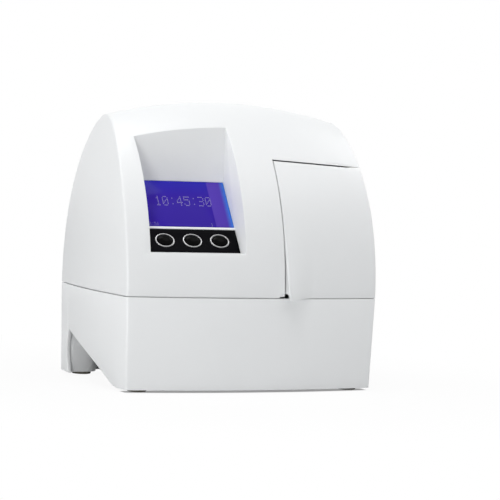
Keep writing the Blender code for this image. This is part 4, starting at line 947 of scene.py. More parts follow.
@dataclass
class Housing:
    """White base tray and cover, with the recess, cut-outs, vents and screw wells."""

    seam_gap: float = 0.0007
    floor_low: float = 0.0400
    floor_high: float = 0.0430
    lip_clear: float = 0.0006
    lip_thick: float = 0.0015
    lip_height: float = 0.0035
    arch_setback: float = 0.0190
    arch_length: float = 0.0870
    arch_height: float = 0.0325
    arch_bow: float = 0.0045
    arch_knee: Point = (0.33, 0.49)
    arch_round: float = 0.0060
    arch_steps: int = 28
    arch_bow_steps: int = 18
    door_gap: float = 0.0009
    foot_x: float = 0.083
    foot_top: float = 0.0021
    foot_radius: float = 0.0070
    foot_tread: tuple = ((0.0070, 0.0004), (0.0067, 0.0001), (0.0064, 0), (0.0045, 0), (0.0043, 0.0002), (0, 0.0002))
    front_foot_inset: float = 0.0120
    rear_foot_inset: float = 0.0095
    vent_count: int = 6
    vent_low: float = 0.0880
    vent_pitch: float = 0.0065
    vent_size: Point = (0.0460, 0.0026)
    vent_reach: Point = (0.02, 0.2)
    ports: tuple = (INLET_PLACE, SERIAL_PLACE, JACK_PLACE)
    port_low: float = 0.0508
    port_gap: float = 0.0004
    port_depth: float = 0.013
    base_narrowest: float = 0.0972
    cover_narrowest: float = 0.0905
    tower: float = 0.0045
    well: float = 0.0031
    boss: Point = (0.0050, 0.0130)
    bore: Point = (0.0018, 0.0063)
    front_leg: float = 0.0085
    rear_leg: Point = (0.0165, 0.0185)
    rear_leg_shift: float = 0.0045
    rear_leg_power: float = 3.0
    leg_span: Point = (-0.05, 0.06)
    sill: float = 0.0675
    notch_width: float = 0.0036
    notch_height: float = 0.0008
    # sizes of the rubber strip painted as shade behind the door gap's right end, and of the black pad painted as shade
    # behind the vents
    shade_strip_left: float = 0.0805
    shade_strip_clear: float = 0.0001
    shade_strip_lap: float = 0.0006
    shade_strip_inset: float = 0.0010
    shade_strip_back: float = 0.0040
    shade_pad_thick: float = 0.0012
    edge: float = 0.00028

    def feet(self) -> list[Point]:
        """Places of the four feet: rear right, rear left, front right, front left."""
        rear, front = FORM.back_y - self.rear_foot_inset, FORM.front_y + self.front_foot_inset
        return [(self.foot_x, rear), (-self.foot_x, rear), (self.foot_x, front), (-self.foot_x, front)]

    def screws(self) -> list[Point]:
        """Places of the four cover screws: above three feet, and one behind the front's middle."""
        rear_right, rear_left, _, front_left = self.feet()
        return [rear_right, rear_left, front_left, (0.0100, FORM.front_y - FORM.front_bulge + FORM.wall + 0.0050)]

    def side_places(self) -> list[float]:
        """Depths of the upright lines along each side.

        Returns:
            The depths, close together over the lifting cut-out.
        """
        start, stop = FORM.front_y + self.arch_setback, FORM.front_y + self.arch_setback + self.arch_length
        first = FORM.front_y + FORM.fillet
        ahead = [first + (start - self.arch_round - first) * step / 4 for step in range(1, 5)]
        ahead += [start - self.arch_round / 2, start]
        behind = stop + self.arch_bow * 1.5
        rest = [behind + (FORM.back_y - FORM.fillet - behind) * step / 5 for step in range(5)]
        over = [start + self.arch_length * step / self.arch_steps for step in range(1, self.arch_steps)]
        return [*ahead, *over, *rest]

    def arch_outline(self) -> list[Point]:
        """Side outline of the lifting cut-out.

        Returns:
            Corners as (depth, height): a long convex slope with a round toe, and a bowed rear edge.
        """
        start = FORM.front_y + self.arch_setback
        stop, foot = start + self.arch_length, FORM.skirt
        toe = self.arch_round
        slope = self.arch_knee[1] / self.arch_knee[0] * self.arch_height / self.arch_length
        points = [(start - toe, -FAR), (start - toe, foot), (start - toe / 2, foot + slope * toe / 16)]
        bend = 1 - 2 * self.arch_knee[0]
        for step in range(self.arch_steps + 1):
            share = step / self.arch_steps
            t = (math.sqrt(self.arch_knee[0] ** 2 + bend * share) - self.arch_knee[0]) / bend
            rise = 2 * t * (1 - t) * self.arch_knee[1] + t * t
            ahead, up = self.arch_length * share, self.arch_height * rise
            if ahead < toe:
                up = slope * (ahead + toe) ** 2 / (4 * toe)
            points.append((start + ahead, foot + up))
        for step in range(1, self.arch_bow_steps + 1):
            share = step / self.arch_bow_steps
            points.append((stop + self.arch_bow * math.sin(math.pi * share), foot + self.arch_height * (1 - share)))
        return points + [(stop, -FAR)]

    def build_base(self) -> bpy.types.Object:
        """The base tray.

        Returns:
            The finished piece.
        """
        top = FORM.seam - self.seam_gap
        edges = [x + side * (width / 2 + self.port_gap) for x, width, _ in self.ports for side in (-1, 1)]
        first, span = FORM.front_y + FORM.fillet, FORM.depth - 2 * FORM.fillet
        along = [(y - first) / span for y in self.side_places()]
        base = FORM.solid("base_shell", FORM.skirt, top, stations=FORM.stations_off(edges, self.base_narrowest),
                          steps=FORM.low_rows, along=along)
        under = FORM.solid("under", -PAST, self.floor_low, FORM.wall, 0, steps=FORM.low_rows)
        legs = [lathe("leg", rod(self.tower, *self.leg_span), Matrix.Translation((*self.screws()[3], 0)))]
        for x, y in self.feet():
            if y < 0:
                legs.append(lathe("leg", rod(self.front_leg, *self.leg_span), Matrix.Translation((x, y, 0))))
            else:
                middle = (x + math.copysign(self.rear_leg_shift, x), FORM.back_y)
                legs.append(prism("leg", superoval(middle, self.rear_leg, self.rear_leg_power), *self.leg_span))
        cut(under, *legs)
        upper = FORM.solid("upper", self.floor_high, FORM.seam, FORM.wall + self.lip_clear + self.lip_thick / 2, 0,
                           steps=FORM.low_rows)
        cut(upper, *[lathe("tower", rod(self.tower, 0, top - self.lip_height), Matrix.Translation((x, y, 0)), steps=32)
                     for x, y in self.screws()])
        arch = prism("arch", self.arch_outline(), -FAR, FAR, SIDE_VIEW)
        cut(base, under, arch, upper)
        join(base, self.build_lip(top))
        for x, width, height in self.ports:
            reach = width / 2 + self.port_gap
            cut(base, block("port_room", (x - reach, FORM.back_y - self.port_depth, self.port_low),
                            (x + reach, FORM.back_y + PAST, self.port_low + height + 2 * self.port_gap)))
        for x, y in self.screws():
            cut(base, lathe("well", rod(self.well, -PAST, self.floor_low), Matrix.Translation((x, y, 0)), steps=32))
        soften(base, self.edge, weld=CUT_MERGE, clamp=False)
        return present(base, "base_shell", "casing", CASING, ["base_housing"])

    def build_lip(self, top: float) -> bpy.types.Object:
        """The aligning lip that stands inside the seam.

        Args:
            top: Height of the base's rim.

        Returns:
            The lip, as a ring that drops to a low sill behind the door.
        """
        inset = FORM.wall + self.lip_clear
        lip = FORM.solid("lip", top - self.lip_height, FORM.seam, inset, 0, steps=FORM.low_rows)
        room = FORM.solid("lip_room", top - PAST, FORM.seam, inset + self.lip_thick, 0, steps=FORM.low_rows)
        for ring, rise in ((lip, self.lip_height), (room, PAST)):
            for corner in ring.data.vertices:
                if abs(corner.co.z - FORM.seam) < MERGE:
                    corner.co.z += rise
        return cut(lip, room, self.door_room("lip_door_room", self.notch_width + self.door_gap, self.sill))

    def door_room(self, name: str, margin: float, low: float) -> bpy.types.Object:
        """The space that the door and its round heel take up.

        Args:
            name: Name of the solid.
            margin: How far it is grown.
            low: Height of its lower side.

        Returns:
            The solid.
        """
        door = Door()
        radius, left = door.heel + margin, FORM.door_left - margin
        outline = [(left, -FAR), (door.hinge_x + radius, -FAR)]
        for step in range(door.heel_steps + 1):
            turn = math.pi * step / door.heel_steps
            outline.append((door.hinge_x + radius * math.cos(turn), door.hinge_y + radius * math.sin(turn)))
        outline.append((left, door.hinge_y))
        room = prism(name, outline, low, door.top_left)
        fall = door.top_fall / (FORM.half - FORM.door_left)
        for corner in room.data.vertices:
            if corner.co.z > low + MERGE:
                corner.co.z = door.top_left - fall * (corner.co.x - FORM.door_left) + margin
        return room

    def build_cover(self) -> bpy.types.Object:
        """The cover shell.

        Returns:
            The finished piece.
        """
        half = RECESS.width / 2
        edges = [RECESS.centre - half, RECESS.centre + half, FORM.door_left - self.door_gap]
        cover = FORM.solid("cover_shell", FORM.seam, ABOVE, stations=FORM.stations_off(edges, self.cover_narrowest),
                           along=FORM.beside_door)
        hollow = FORM.solid("hollow", FORM.seam - PAST, ABOVE, FORM.wall, 0, steps=FORM.inner_rows)
        place = Matrix.Translation((RECESS.centre, 0, 0)) @ SIDE_VIEW
        tub = prism("tub", RECESS.outline(RECESS.seat, RECESS.wall), -half - RECESS.wall, half + RECESS.wall, place)
        room = prism("room", RECESS.outline(RECESS.seat, 0), -half, half, place)
        cut(cover, cut(hollow, tub), room)
        lap = RECESS.divider_lap
        join(cover, block("divider", (-half - lap, RECESS.keypad + RECESS.gap, -RECESS.seat - lap),
                          (half + lap, RECESS.keypad + RECESS.strip - RECESS.gap, RECESS.divider_proud),
                          RECESS.axes()))
        join(cover, *self.boss_blocks())
        corner = FORM.door_left - self.door_gap
        cut(cover, self.door_room("door_room", self.door_gap, FORM.seam - PAST),
            block("relief", (corner - self.notch_width, -FAR, FORM.seam - NEAR),
                  (corner + NEAR, FORM.front_y, FORM.seam + self.notch_height)))
        wide, tall = RECESS.button_width / 2 + RECESS.gap, RECESS.button_height / 2 + RECESS.gap
        for side in (-1, 0, 1):
            place = RECESS.axes(side * RECESS.spacing, RECESS.button_up)
            cut(cover, lathe("stem", rod(wide, -NEAR, NEAR / 2), place, (1, tall / wide, 1)))
        wide, tall = self.vent_size
        for index in range(self.vent_count):
            z = self.vent_low + index * self.vent_pitch
            cut(cover, block("vent", (-wide / 2, self.vent_reach[0], z), (wide / 2, self.vent_reach[1], z + tall)))
        soften(cover, self.edge, weld=CUT_MERGE, clamp=False)
        return present(cover, "cover_shell", "casing", CASING, ["cover"])

    def build_shade_screens(self) -> None:
        """Painted shade: a rubber strip over the door's right corner and a black pad behind the vents, dark pieces that
        stand in for the shade inside, where daylight would show.
        """
        door = Door()
        fall = door.top_fall / (FORM.half - FORM.door_left)
        low = door.top_left - fall * (self.shade_strip_left - FORM.door_left) + self.shade_strip_clear
        high = door.top_left + self.door_gap + self.shade_strip_lap
        strip = block("door_gap_shade", (self.shade_strip_left, -FAR, low), (FORM.half, door.hinge_y - self.shade_strip_back, high))
        for corner in strip.data.vertices:
            if corner.co.z > low + MERGE:
                corner.co.z -= fall * (corner.co.x - FORM.door_left)
        trim(strip, FORM.solid("inside", FORM.seam, ABOVE, self.shade_strip_inset, 0, steps=FORM.inner_rows))
        soften(strip, 0)
        # rubber colour painted as the shade in the right end of the door gap
        present(strip, "door_gap_shade", "casing", RUBBER)
        wide, past = self.vent_size[0] / 2 + self.vent_size[1], self.vent_size[1]
        pad = block("vent_shade_pad", (-wide, FORM.apex_y, self.vent_low - past),
                    (wide, FAR, self.vent_low + self.vent_count * self.vent_pitch))
        trim(pad, FORM.solid("inside", FORM.seam, ABOVE, FORM.wall, 0, steps=FORM.inner_rows))
        cut(pad, FORM.solid("inside", FORM.seam, ABOVE, FORM.wall + self.shade_pad_thick, 0, steps=FORM.inner_rows))
        soften(pad, 0)
        # black painted as the shade behind the vents
        present(pad, "vent_shade_pad", "casing", BLACK)

    def boss_blocks(self) -> list[bpy.types.Object]:
        """Blocks on the cover's wall that take the screws.

        Returns:
            The blocks, with their bores.
        """
        size, height = self.boss
        blocks = []
        for x, y in self.screws():
            reach = FORM.width_at(y, 0, FORM.seam, FORM.wall / 2)
            low, high = [x - size, y - size, FORM.seam], [x + size, y + size, FORM.seam + height]
            if abs(x) > FORM.half / 2:
                low[0], high[0] = (low[0], reach) if x > 0 else (-reach, high[0])
            else:
                low[1] = FORM.front_at(x, high[2]) + FORM.wall / 2
            made = block("boss", low, high)
            bore = rod(self.bore[0], 0, FORM.seam + self.bore[1])
            blocks.append(cut(made, lathe("bore", bore, Matrix.Translation((x, y, 0)), steps=24)))
        return blocks

    def build_feet(self) -> None:
        """The four rubber feet."""
        names = ("rear_right_foot", "rear_left_foot", "front_right_foot", "front_left_foot")
        first = lathe("foot", [(0, self.foot_top), (self.foot_radius, self.foot_top), *self.foot_tread])
        for name, (x, y) in zip(names, self.feet()):
            foot = first.copy()
            foot.data = first.data.copy()
            bpy.context.scene.collection.objects.link(foot)
            seat(foot, Matrix.Translation((x, y, 0)))
            soften(foot, 0)
            present(foot, f"rubber_{name}", "casing", RUBBER, [name])
        bpy.data.objects.remove(first, do_unlink=True)

    def build(self) -> None:
        """All of the housing."""
        self.build_base()
        self.build_cover()
        self.build_shade_screens()
        self.build_feet()


# Door

@dataclass
class Door:
    """Crowned door that wraps the right corner, with finger lip, hinge lugs and magnet boss."""

    hinge_x: float = 0.0907
    hinge_inset: float = 0.0342
    heel: float = 0.0150
    top_left: float = 0.1647
    top_fall: float = 0.0040
    lug_radius: float = 0.0042
    lug_height: float = 0.0050
    lug_middle: float = 0.1125
    lug_spacing: float = 0.0620
    rod_radius: float = 0.0023
    latch: Point = (0.0286, 0.1420)
    magnet: Point = (0.0032, 0.0025)
    magnet_clear: float = 0.0003
    drop: float = 0.0003
    dip: float = 0.0009
    nick: Point = (0.0056, 0.0029)
    nick_span: Point = (-0.0040, 0.0035)
    lip_margin: float = 0.0007
    heel_steps: int = 48
    edge: float = 0.0003

    @property
    def hinge_y(self) -> float:
        """Depth of the hinge's axis."""
        return FORM.front_y + self.hinge_inset

    def stations(self) -> list[float]:
        """Places across the body.

        Returns:
            Places from -1 to 1, close together over the finger lip.
        """
        reach = FORM.half - FORM.fillet
        first = (FORM.door_left - self.lip_margin) / reach
        last = (FORM.door_left + FORM.lip_width + self.lip_margin) / reach
        dense = [first + (last - first) * step / 28 for step in range(29)]
        wide = [last + (1 - last) * step / 24 for step in range(1, 25)]
        return [-1.0, *dense, *wide]

    def build(self) -> bpy.types.Object:
        """The door.

        Returns:
            The finished piece.
        """
        door = FORM.solid("door_shell", FORM.seam, ABOVE, stations=self.stations(), lipped=True,
                          along=FORM.beside_door)
        trim(door, Housing().door_room("door_shape", 0, FORM.seam - PAST))
        cut(door, FORM.solid("door_hollow", FORM.seam - PAST, ABOVE, FORM.wall, 0, steps=FORM.inner_rows))
        axis = Matrix.Translation((self.hinge_x, self.hinge_y, 0))
        for side in (-1, 1):
            middle = self.lug_middle + side * self.lug_spacing / 2
            low, high = middle - self.lug_height / 2, middle + self.lug_height / 2
            rise = (middle - FORM.seam) / (FORM.apex - FORM.seam)
            wall_x = FORM.width_at(self.hinge_y, rise, middle, FORM.wall / 2)
            join(door, block("arm", (self.hinge_x, self.hinge_y - self.lug_radius, low),
                             (wall_x, self.hinge_y + self.lug_radius, high)),
                 lathe("eye", rod(self.lug_radius, low, high), axis, steps=40))
        x, z = self.latch
        radius, depth = self.magnet
        size = radius + FORM.wall / 2
        surface = FORM.front_at(x, z)
        back = surface + FORM.wall + depth
        join(door, block("boss", (x - size, surface + FORM.wall / 2, z - size), (x + size, back, z + size)))
        spindle = Matrix.Translation((x, 0, z)) @ Matrix.Rotation(-math.pi / 2, 4, "X")
        magnet_room = rod(radius + self.magnet_clear, back - depth - self.magnet_clear, FAR / 4)
        cut(door, lathe("magnet_room", magnet_room, spindle, steps=32),
            lathe("rod_room", rod(self.rod_radius, 0, ABOVE), axis, steps=32))
        for corner in door.data.vertices:
            if abs(corner.co.z - FORM.seam) < MERGE:
                proud = (FORM.front_at(corner.co.x, FORM.seam) - corner.co.y) / FORM.lip_depth
                corner.co.z -= self.drop + self.dip * min(max(proud, 0), 1)
        reach, rise = self.nick
        place = Matrix.Translation((FORM.door_left, FORM.front_at(FORM.door_left, FORM.seam), FORM.seam))
        place @= Matrix.Rotation(math.pi / 2, 4, "Y")
        cut(door, lathe("nick", rod(reach, *self.nick_span), place, (rise / reach, 1, 1), steps=48))
        soften(door, self.edge, weld=CUT_MERGE, clamp=False)
        return present(door, "door_shell", "door", CASING, ["door"])


# Display and keypad

@dataclass
class DisplayPanel:
    """Glossy blue display window with a row of dotted numerals."""

    thickness: float = 0.0015
    edge: float = 0.0002
    dot: Point = (0.00054, 0.00074)
    dot_span: Point = (-0.0001, 0.00003)
    dot_edge: float = 0.00001
    pitch: Point = (0.00093, 0.00120)
    texts: tuple = (("10:45:30", -0.0211, 0.0470, 1.0), ("10:54", -0.0322, 0.0250, 0.35), ("1", 0.0178, 0.0250, 0.35))
    deep: Place = (0.040, 0.017, 0.350)
    blue: Place = (0.028, 0.026, 0.440)
    # strip and rim: colours of the painted reflection of the recess's right wall, lilac and then light blue towards the
    # right edge
    strip: Place = (0.098, 0.052, 0.440)
    rim: Place = (0.055, 0.190, 0.690)
    deep_stops: Place = (0.1, 0.6, 1.0)
    reflection_stops: Place = (0.80, 0.935, 0.985)
    reflection_soft: float = 0.008
    specular: float = 0.04
    gloss: Point = (0.06, 0.11)
    gloss_scale: float = 900

    def glass(self) -> bpy.types.Material:
        """The window's finish: deep violet, bluer at the top, with a painted reflection of the recess's lit right wall
        as a light band along its right edge.

        Returns:
            The material.
        """
        made = bpy.data.materials.new("display_glass")
        made.use_nodes = True
        made.diffuse_color = (*self.deep, 1)
        nodes, links = made.node_tree.nodes, made.node_tree.links
        shader = nodes["Principled BSDF"]
        shader.inputs["Specular IOR Level"].default_value = self.specular
        place = nodes.new("ShaderNodeTexCoord").outputs["Object"]

        def share(direction: Vector, origin: Vector, length: float) -> bpy.types.NodeSocket:
            """Adds how far a place lies along one direction of the window.

            Args:
                direction: The direction.
                origin: Where it starts.
                length: Length of the window along it.

            Returns:
                Share of that length, from 0 to 1.
            """
            dot = nodes.new("ShaderNodeVectorMath")
            dot.operation = "DOT_PRODUCT"
            dot.inputs[1].default_value = direction
            links.new(place, dot.inputs[0])
            scale = nodes.new("ShaderNodeMapRange")
            start = direction.dot(origin)
            scale.inputs["From Min"].default_value = start
            scale.inputs["From Max"].default_value = start + length
            links.new(dot.outputs["Value"], scale.inputs["Value"])
            return scale.outputs["Result"]

        axes = RECESS.axes()
        corner = axes @ Vector((-RECESS.width / 2, RECESS.keypad + RECESS.strip, 0))
        across = share(axes.col[0].xyz, corner, RECESS.width)
        upward = share(axes.col[1].xyz, corner, RECESS.slope - RECESS.keypad)
        left = ramp(nodes, links, upward, tuple(zip(self.deep_stops, (self.deep, self.deep, self.blue))))
        # painted reflection of the recess's right wall: a light band up the right edge, from the strip colour to a
        # bluer rim
        right = ramp(nodes, links, across, tuple(zip(self.reflection_stops, (self.strip, self.strip, self.rim))))
        start = self.reflection_stops[0]
        step = ramp(nodes, links, across, ((start, (0, 0, 0)), (start + self.reflection_soft, (1, 1, 1))))
        mix = nodes.new("ShaderNodeMix")
        mix.data_type = "RGBA"
        # Of this node's sockets, 0 is the colours' share, 6 and 7 are the colours, and output 2 is their mix
        for index, value in ((0, step), (6, left), (7, right)):
            links.new(value, mix.inputs[index])
        links.new(mix.outputs[2], shader.inputs["Base Color"])
        fine = noise(nodes, links, place, self.gloss_scale, detail=2)
        spread = nodes.new("ShaderNodeMapRange")
        spread.inputs["To Min"].default_value, spread.inputs["To Max"].default_value = self.gloss
        links.new(fine, spread.inputs["Value"])
        links.new(spread.outputs["Result"], shader.inputs["Roughness"])
        return made

    def build(self) -> None:
        """The window and its numerals."""
        half = RECESS.width / 2 - RECESS.gap
        low, high = RECESS.keypad + RECESS.strip, RECESS.slope - RECESS.gap
        window = block("window", (-half, low, -self.thickness), (half, high, 0), RECESS.axes())
        soften(window, self.edge)
        present(window, "display_glass", "casing", self.glass(), ["display_window"])
        self.build_digits()

    def build_digits(self) -> None:
        """Dotted numerals just proud of the window."""
        rows = {
            "0": "01110 10001 10011 10101 11001 10001 01110", "1": "00100 01100 00100 00100 00100 00100 01110",
            "3": "11110 00001 00001 01110 00001 00001 11110", "4": "00010 00110 01010 10010 11111 00010 00010",
            "5": "11111 10000 11110 00001 00001 10001 01110", ":": "00000 00100 00000 00000 00000 00100 00000",
        }
        dots = []
        for text, left, up, size in self.texts:
            for place, sign in enumerate(text):
                for row, line in enumerate(rows[sign].split()):
                    dots += [(left + (6 * place + column) * self.pitch[0] * size, up - row * self.pitch[1] * size, size)
                             for column, lit in enumerate(line) if lit == "1"]
        wide, tall = self.dot[0] / 2, self.dot[1] / 2
        first = block("dot", (-wide, -tall, self.dot_span[0]), (wide, tall, self.dot_span[1]))
        soften(first, self.dot_edge, segments=1)
        copies = []
        for x, up, size in dots:
            dot = first.copy()
            dot.data = first.data.copy()
            bpy.context.scene.collection.objects.link(dot)
            dot.data.transform(Matrix.Translation((x, up, 0)) @ Matrix.Diagonal((size, size, 1, 1)))
            copies.append(dot)
        bpy.data.objects.remove(first, do_unlink=True)
        start_fresh()
        for dot in copies:
            dot.select_set(True)
        bpy.context.view_layer.objects.active = copies[0]
        bpy.ops.object.join()
        digits = seat(bpy.context.object, RECESS.axes())
        present(digits, "display_numerals", "casing", DIGIT)


@dataclass
class Keypad:
    """Black key panel with three domed oval buttons in silver rings."""

    thickness: float = 0.0015
    ring_width: float = 0.0009
    ring_rise: float = 0.0005
    dome: float = 0.0020
    flange: float = 0.0012
    flange_depth: float = 0.0041
    flange_thick: float = 0.001
    tip: Point = (0.0015, 0.002)
    edge: float = 0.0002

    def build(self) -> None:
        """The panel, rings and buttons."""
        half = RECESS.width / 2 - RECESS.gap
        wide, tall = RECESS.button_width / 2 + RECESS.gap, RECESS.button_height / 2 + RECESS.gap
        panel = block("panel", (-half, RECESS.gap, -self.thickness), (half, RECESS.keypad, 0), RECESS.axes())
        outer = wide + self.ring_width + RECESS.gap
        shape = (1, (tall + self.ring_width + RECESS.gap) / outer, 1)
        for side in (-1, 0, 1):
            place = RECESS.axes(side * RECESS.spacing, RECESS.button_up)
            cut(panel, lathe("ring_room", rod(outer, -NEAR, NEAR), place, shape, steps=72))
        soften(panel, self.edge)
        present(panel, "keypad_plate", "casing", KEYPAD_BLACK, ["keypad_panel"])
        for name, side in (("left", -1), ("middle", 0), ("right", 1)):
            place = RECESS.axes(side * RECESS.spacing, RECESS.button_up)
            self.build_ring(name, place, wide, tall)
            self.build_button(name, place)

    def build_ring(self, name: str, place: Matrix, wide: float, tall: float) -> None:
        """One silver ring with a rounded crest.

        Args:
            name: Which button it surrounds.
            place: Axes of that button.
            wide: Half of the hole's width.
            tall: Half of the hole's height.
        """
        outer = wide + self.ring_width
        middle, crest = (wide + outer) / 2, self.ring_width / 2
        profile = [(outer, -self.thickness)]
        for step in range(9):
            turn = math.pi * step / 8
            profile.append((middle + crest * math.cos(turn), self.ring_rise * math.sin(turn)))
        profile.append((wide, -self.thickness))
        shape = (1, (tall + self.ring_width) / outer, 1)
        ring = soften(lathe("ring", profile, place, shape, steps=96), 0, angle=50)
        present(ring, f"ring_{name}", "casing", SILVER, [f"bezel_{name}"])

    def build_button(self, name: str, place: Matrix) -> None:
        """One glossy domed button with its stop flange.

        Args:
            name: Which button it is.
            place: Its axes.
        """
        radius = RECESS.button_width / 2
        profile = []
        for step in range(13):
            turn = math.pi / 2 * step / 12
            profile.append((radius * math.sin(turn), self.ring_rise / 2 + self.dome * math.cos(turn)))
        flange = radius + self.flange
        under = -self.flange_depth
        base, end = under - self.flange_thick, under - self.tip[1]
        profile += [(radius, under), (flange, under), (flange, base), (self.tip[0], base), (self.tip[0], end), (0, end)]
        shape = (1, RECESS.button_height / RECESS.button_width, 1)
        button = soften(lathe("button", profile, place, shape, steps=96), 0, angle=40)
        present(button, f"dome_{name}", f"{name}_button", GLOSS_BLACK, [f"button_{name}"])


# Sockets in the back

@dataclass
class RearPorts:
    """Serial socket and modular jack behind the housing's openings."""

    face: float = -0.0004
    low: float = 0.0512
    serial: Place = SERIAL_PLACE
    plate_back: float = 0.0052
    plate_thick: float = 0.0008
    plate_edge: float = 0.0001
    shell: Place = (0.0170, 0.0084, 0.0005)
    shell_round: float = 0.0016
    shell_root: float = 0.0004
    slant: float = 0.0012
    insert_span: Point = (-0.0060, 0.0006)
    insert_edge: float = 0.00008
    pins: float = 0.00277
    pin_radius: float = 0.0005
    pin_face: float = -0.0008
    pin_round: float = 0.0004
    post_x: float = 0.0125
    post_radius: float = 0.0028
    post_face: float = -0.0004
    post_hole: Point = (0.0014, -0.0040)
    post_edge: float = 0.0002
    jack: Place = JACK_PLACE
    length: float = 0.0130
    jack_rooms: tuple = ((0.0059, -0.0028, 0.0048, 0.0110), (0.0031, -0.0042, 0, 0.0090), (0.0017, -0.0052, 0, 0.0080))
    jack_edge: float = 0.00015
    contact: tuple = ((-0.0105, 0.0049), (-0.0015, 0.0046), (-0.0080, 0.0004), (-0.0084, 0.0008), (-0.0030, 0.0042),
                      (-0.0105, 0.0043))
    contact_half: float = 0.00022
    contact_pitch: float = 0.00102
    contact_edge: float = 0.00003

    def place(self, port: Place) -> Matrix:
        """Axes of one socket, seen from behind: X right, Y up, Z out of the back."""
        return Matrix.Translation((port[0], FORM.back_y + self.face, self.low + port[2] / 2)) @ BACK_VIEW

    def shell_outline(self, grow: float) -> list[Point]:
        """D-shaped outline of the serial shell.

        Args:
            grow: How far it is grown.

        Returns:
            Its corners, each rounded.
        """
        wide, tall = self.shell[0] / 2 + grow, self.shell[1] / 2 + grow
        radius = self.shell_round + grow
        points = []
        for x, y, start in ((wide, tall, 0), (-wide, tall, 90), (self.slant - wide, -tall, 180),
                            (wide - self.slant, -tall, 270)):
            middle_x, middle_y = x - math.copysign(radius, x), y - math.copysign(radius, y)
            for degrees in range(start, start + 91, 15):
                turn = math.radians(degrees)
                points.append((middle_x + radius * math.cos(turn), middle_y + radius * math.sin(turn)))
        return points

    def build_serial(self) -> None:
        """Steel plate with its D-shaped shell, nine pins and two threaded posts."""
        place = self.place(self.serial)
        wide, tall = self.serial[1] / 2, self.serial[2] / 2
        front = -self.plate_back
        plate = block("plate", (-wide, -tall, front - self.plate_thick), (wide, tall, front), place)
        inner = self.shell_outline(-self.shell[2])
        shell = prism("shell", self.shell_outline(0), front - self.shell_root, 0, place)
        join(plate, cut(shell, prism("inside", inner, front - NEAR, NEAR, place)))
        soften(plate, self.plate_edge)
        present(plate, "serial_shell", "casing", STEEL, ["serial_port"])
        body = prism("serial_insert", inner, front + self.insert_span[0], front + self.insert_span[1], place)
        soften(body, self.insert_edge, segments=1)
        present(body, "serial_insert", "casing", BLACK)
        row = self.shell[1] / 6
        spots = [((index - 2) * self.pins, row) for index in range(5)]
        spots += [((index - 1.5) * self.pins, -row) for index in range(4)]
        profile = rod(self.pin_radius, front, self.pin_face, self.pin_round)
        for index, (x, y) in enumerate(spots):
            pin = soften(lathe("pin", profile, place @ Matrix.Translation((x, y, 0)), steps=16), 0, angle=50)
            present(pin, f"serial_pin_{index + 1}", "casing", GOLD)
        profile = [(0, front), (self.post_radius, front), (self.post_radius, self.post_face), (0, self.post_face)]
        for name, x in (("left", -self.post_x), ("right", self.post_x)):
            axis = place @ Matrix.Translation((x, 0, 0))
            post = lathe("post", profile, axis, steps=6)
            cut(post, lathe("hole", rod(*self.post_hole, NEAR), axis, steps=24))
            soften(post, self.post_edge, angle=40)
            present(post, f"serial_post_{name}", "casing", STEEL)

    def build_jack(self) -> None:
        """Black jack with its stepped cavity and eight contacts."""
        place = self.place(self.jack)
        wide, tall = self.jack[1] / 2, self.jack[2] / 2
        body = block("jack", (-wide, -tall, -self.length), (wide, tall, 0), place)
        for half, low, high, depth in self.jack_rooms:
            cut(body, block("jack_room", (-half, low, -depth), (half, high, NEAR), place))
        soften(body, self.jack_edge)
        present(body, "jack_body", "casing", BLACK, ["scanner_port"])
        for index in range(8):
            x = (index - 3.5) * self.contact_pitch
            axes = place @ Matrix(((0, 0, 1, x), (0, 1, 0, 0), (1, 0, 0, 0), (0, 0, 0, 1)))
            spring = tidy_faces(prism("spring", self.contact, -self.contact_half, self.contact_half, axes))
            soften(spring, self.contact_edge, segments=1)
            present(spring, f"jack_contact_{index + 1}", "casing", GOLD)

    def build(self) -> None:
        """Both sockets."""
        self.build_serial()
        self.build_jack()


# Solids that keep their own mesh

DRESSED = {
    LINER: ("chamber_liner",),
    BLACK: ("cartridge_rotor", "index_disc", "index_sensor", "optics_block", "drive_motor", "power_inlet"),
    STEEL: ("door_magnet", "hinge_rod", "rotor_shaft", "catch_plate", "cover_screw_1", "cover_screw_2",
            "cover_screw_3", "cover_screw_4"),
    ALUMINIUM: ("hinge_bracket", "chassis_plate", "heater_shoe"),
    BRASS: ("motor_pinion", "shaft_bearing"),
    BOARD: ("main_board", "keypad_board", "optics_board"),
    GEAR: ("rotor_gear",),
    SCREEN: ("lcd_module",),
}


def dress_solids() -> None:
    """Gives every solid that stays its finish and softly broken edges."""
    for finish, names in DRESSED.items():
        for name in names:
            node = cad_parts[name]
            node.data.materials.clear()
            node.data.materials.append(finish.material())
            weld = node.modifiers.new("weld", "WELD")
            weld.merge_threshold = MERGE
            edges = node.modifiers.new("soft_edges", "BEVEL")
            edges.width, edges.segments = BROKEN_EDGE, 2
            edges.limit_method, edges.angle_limit = "ANGLE", math.radians(35)
            LOG.info("%s keeps its solid in %s", name, finish.name)


# Studio

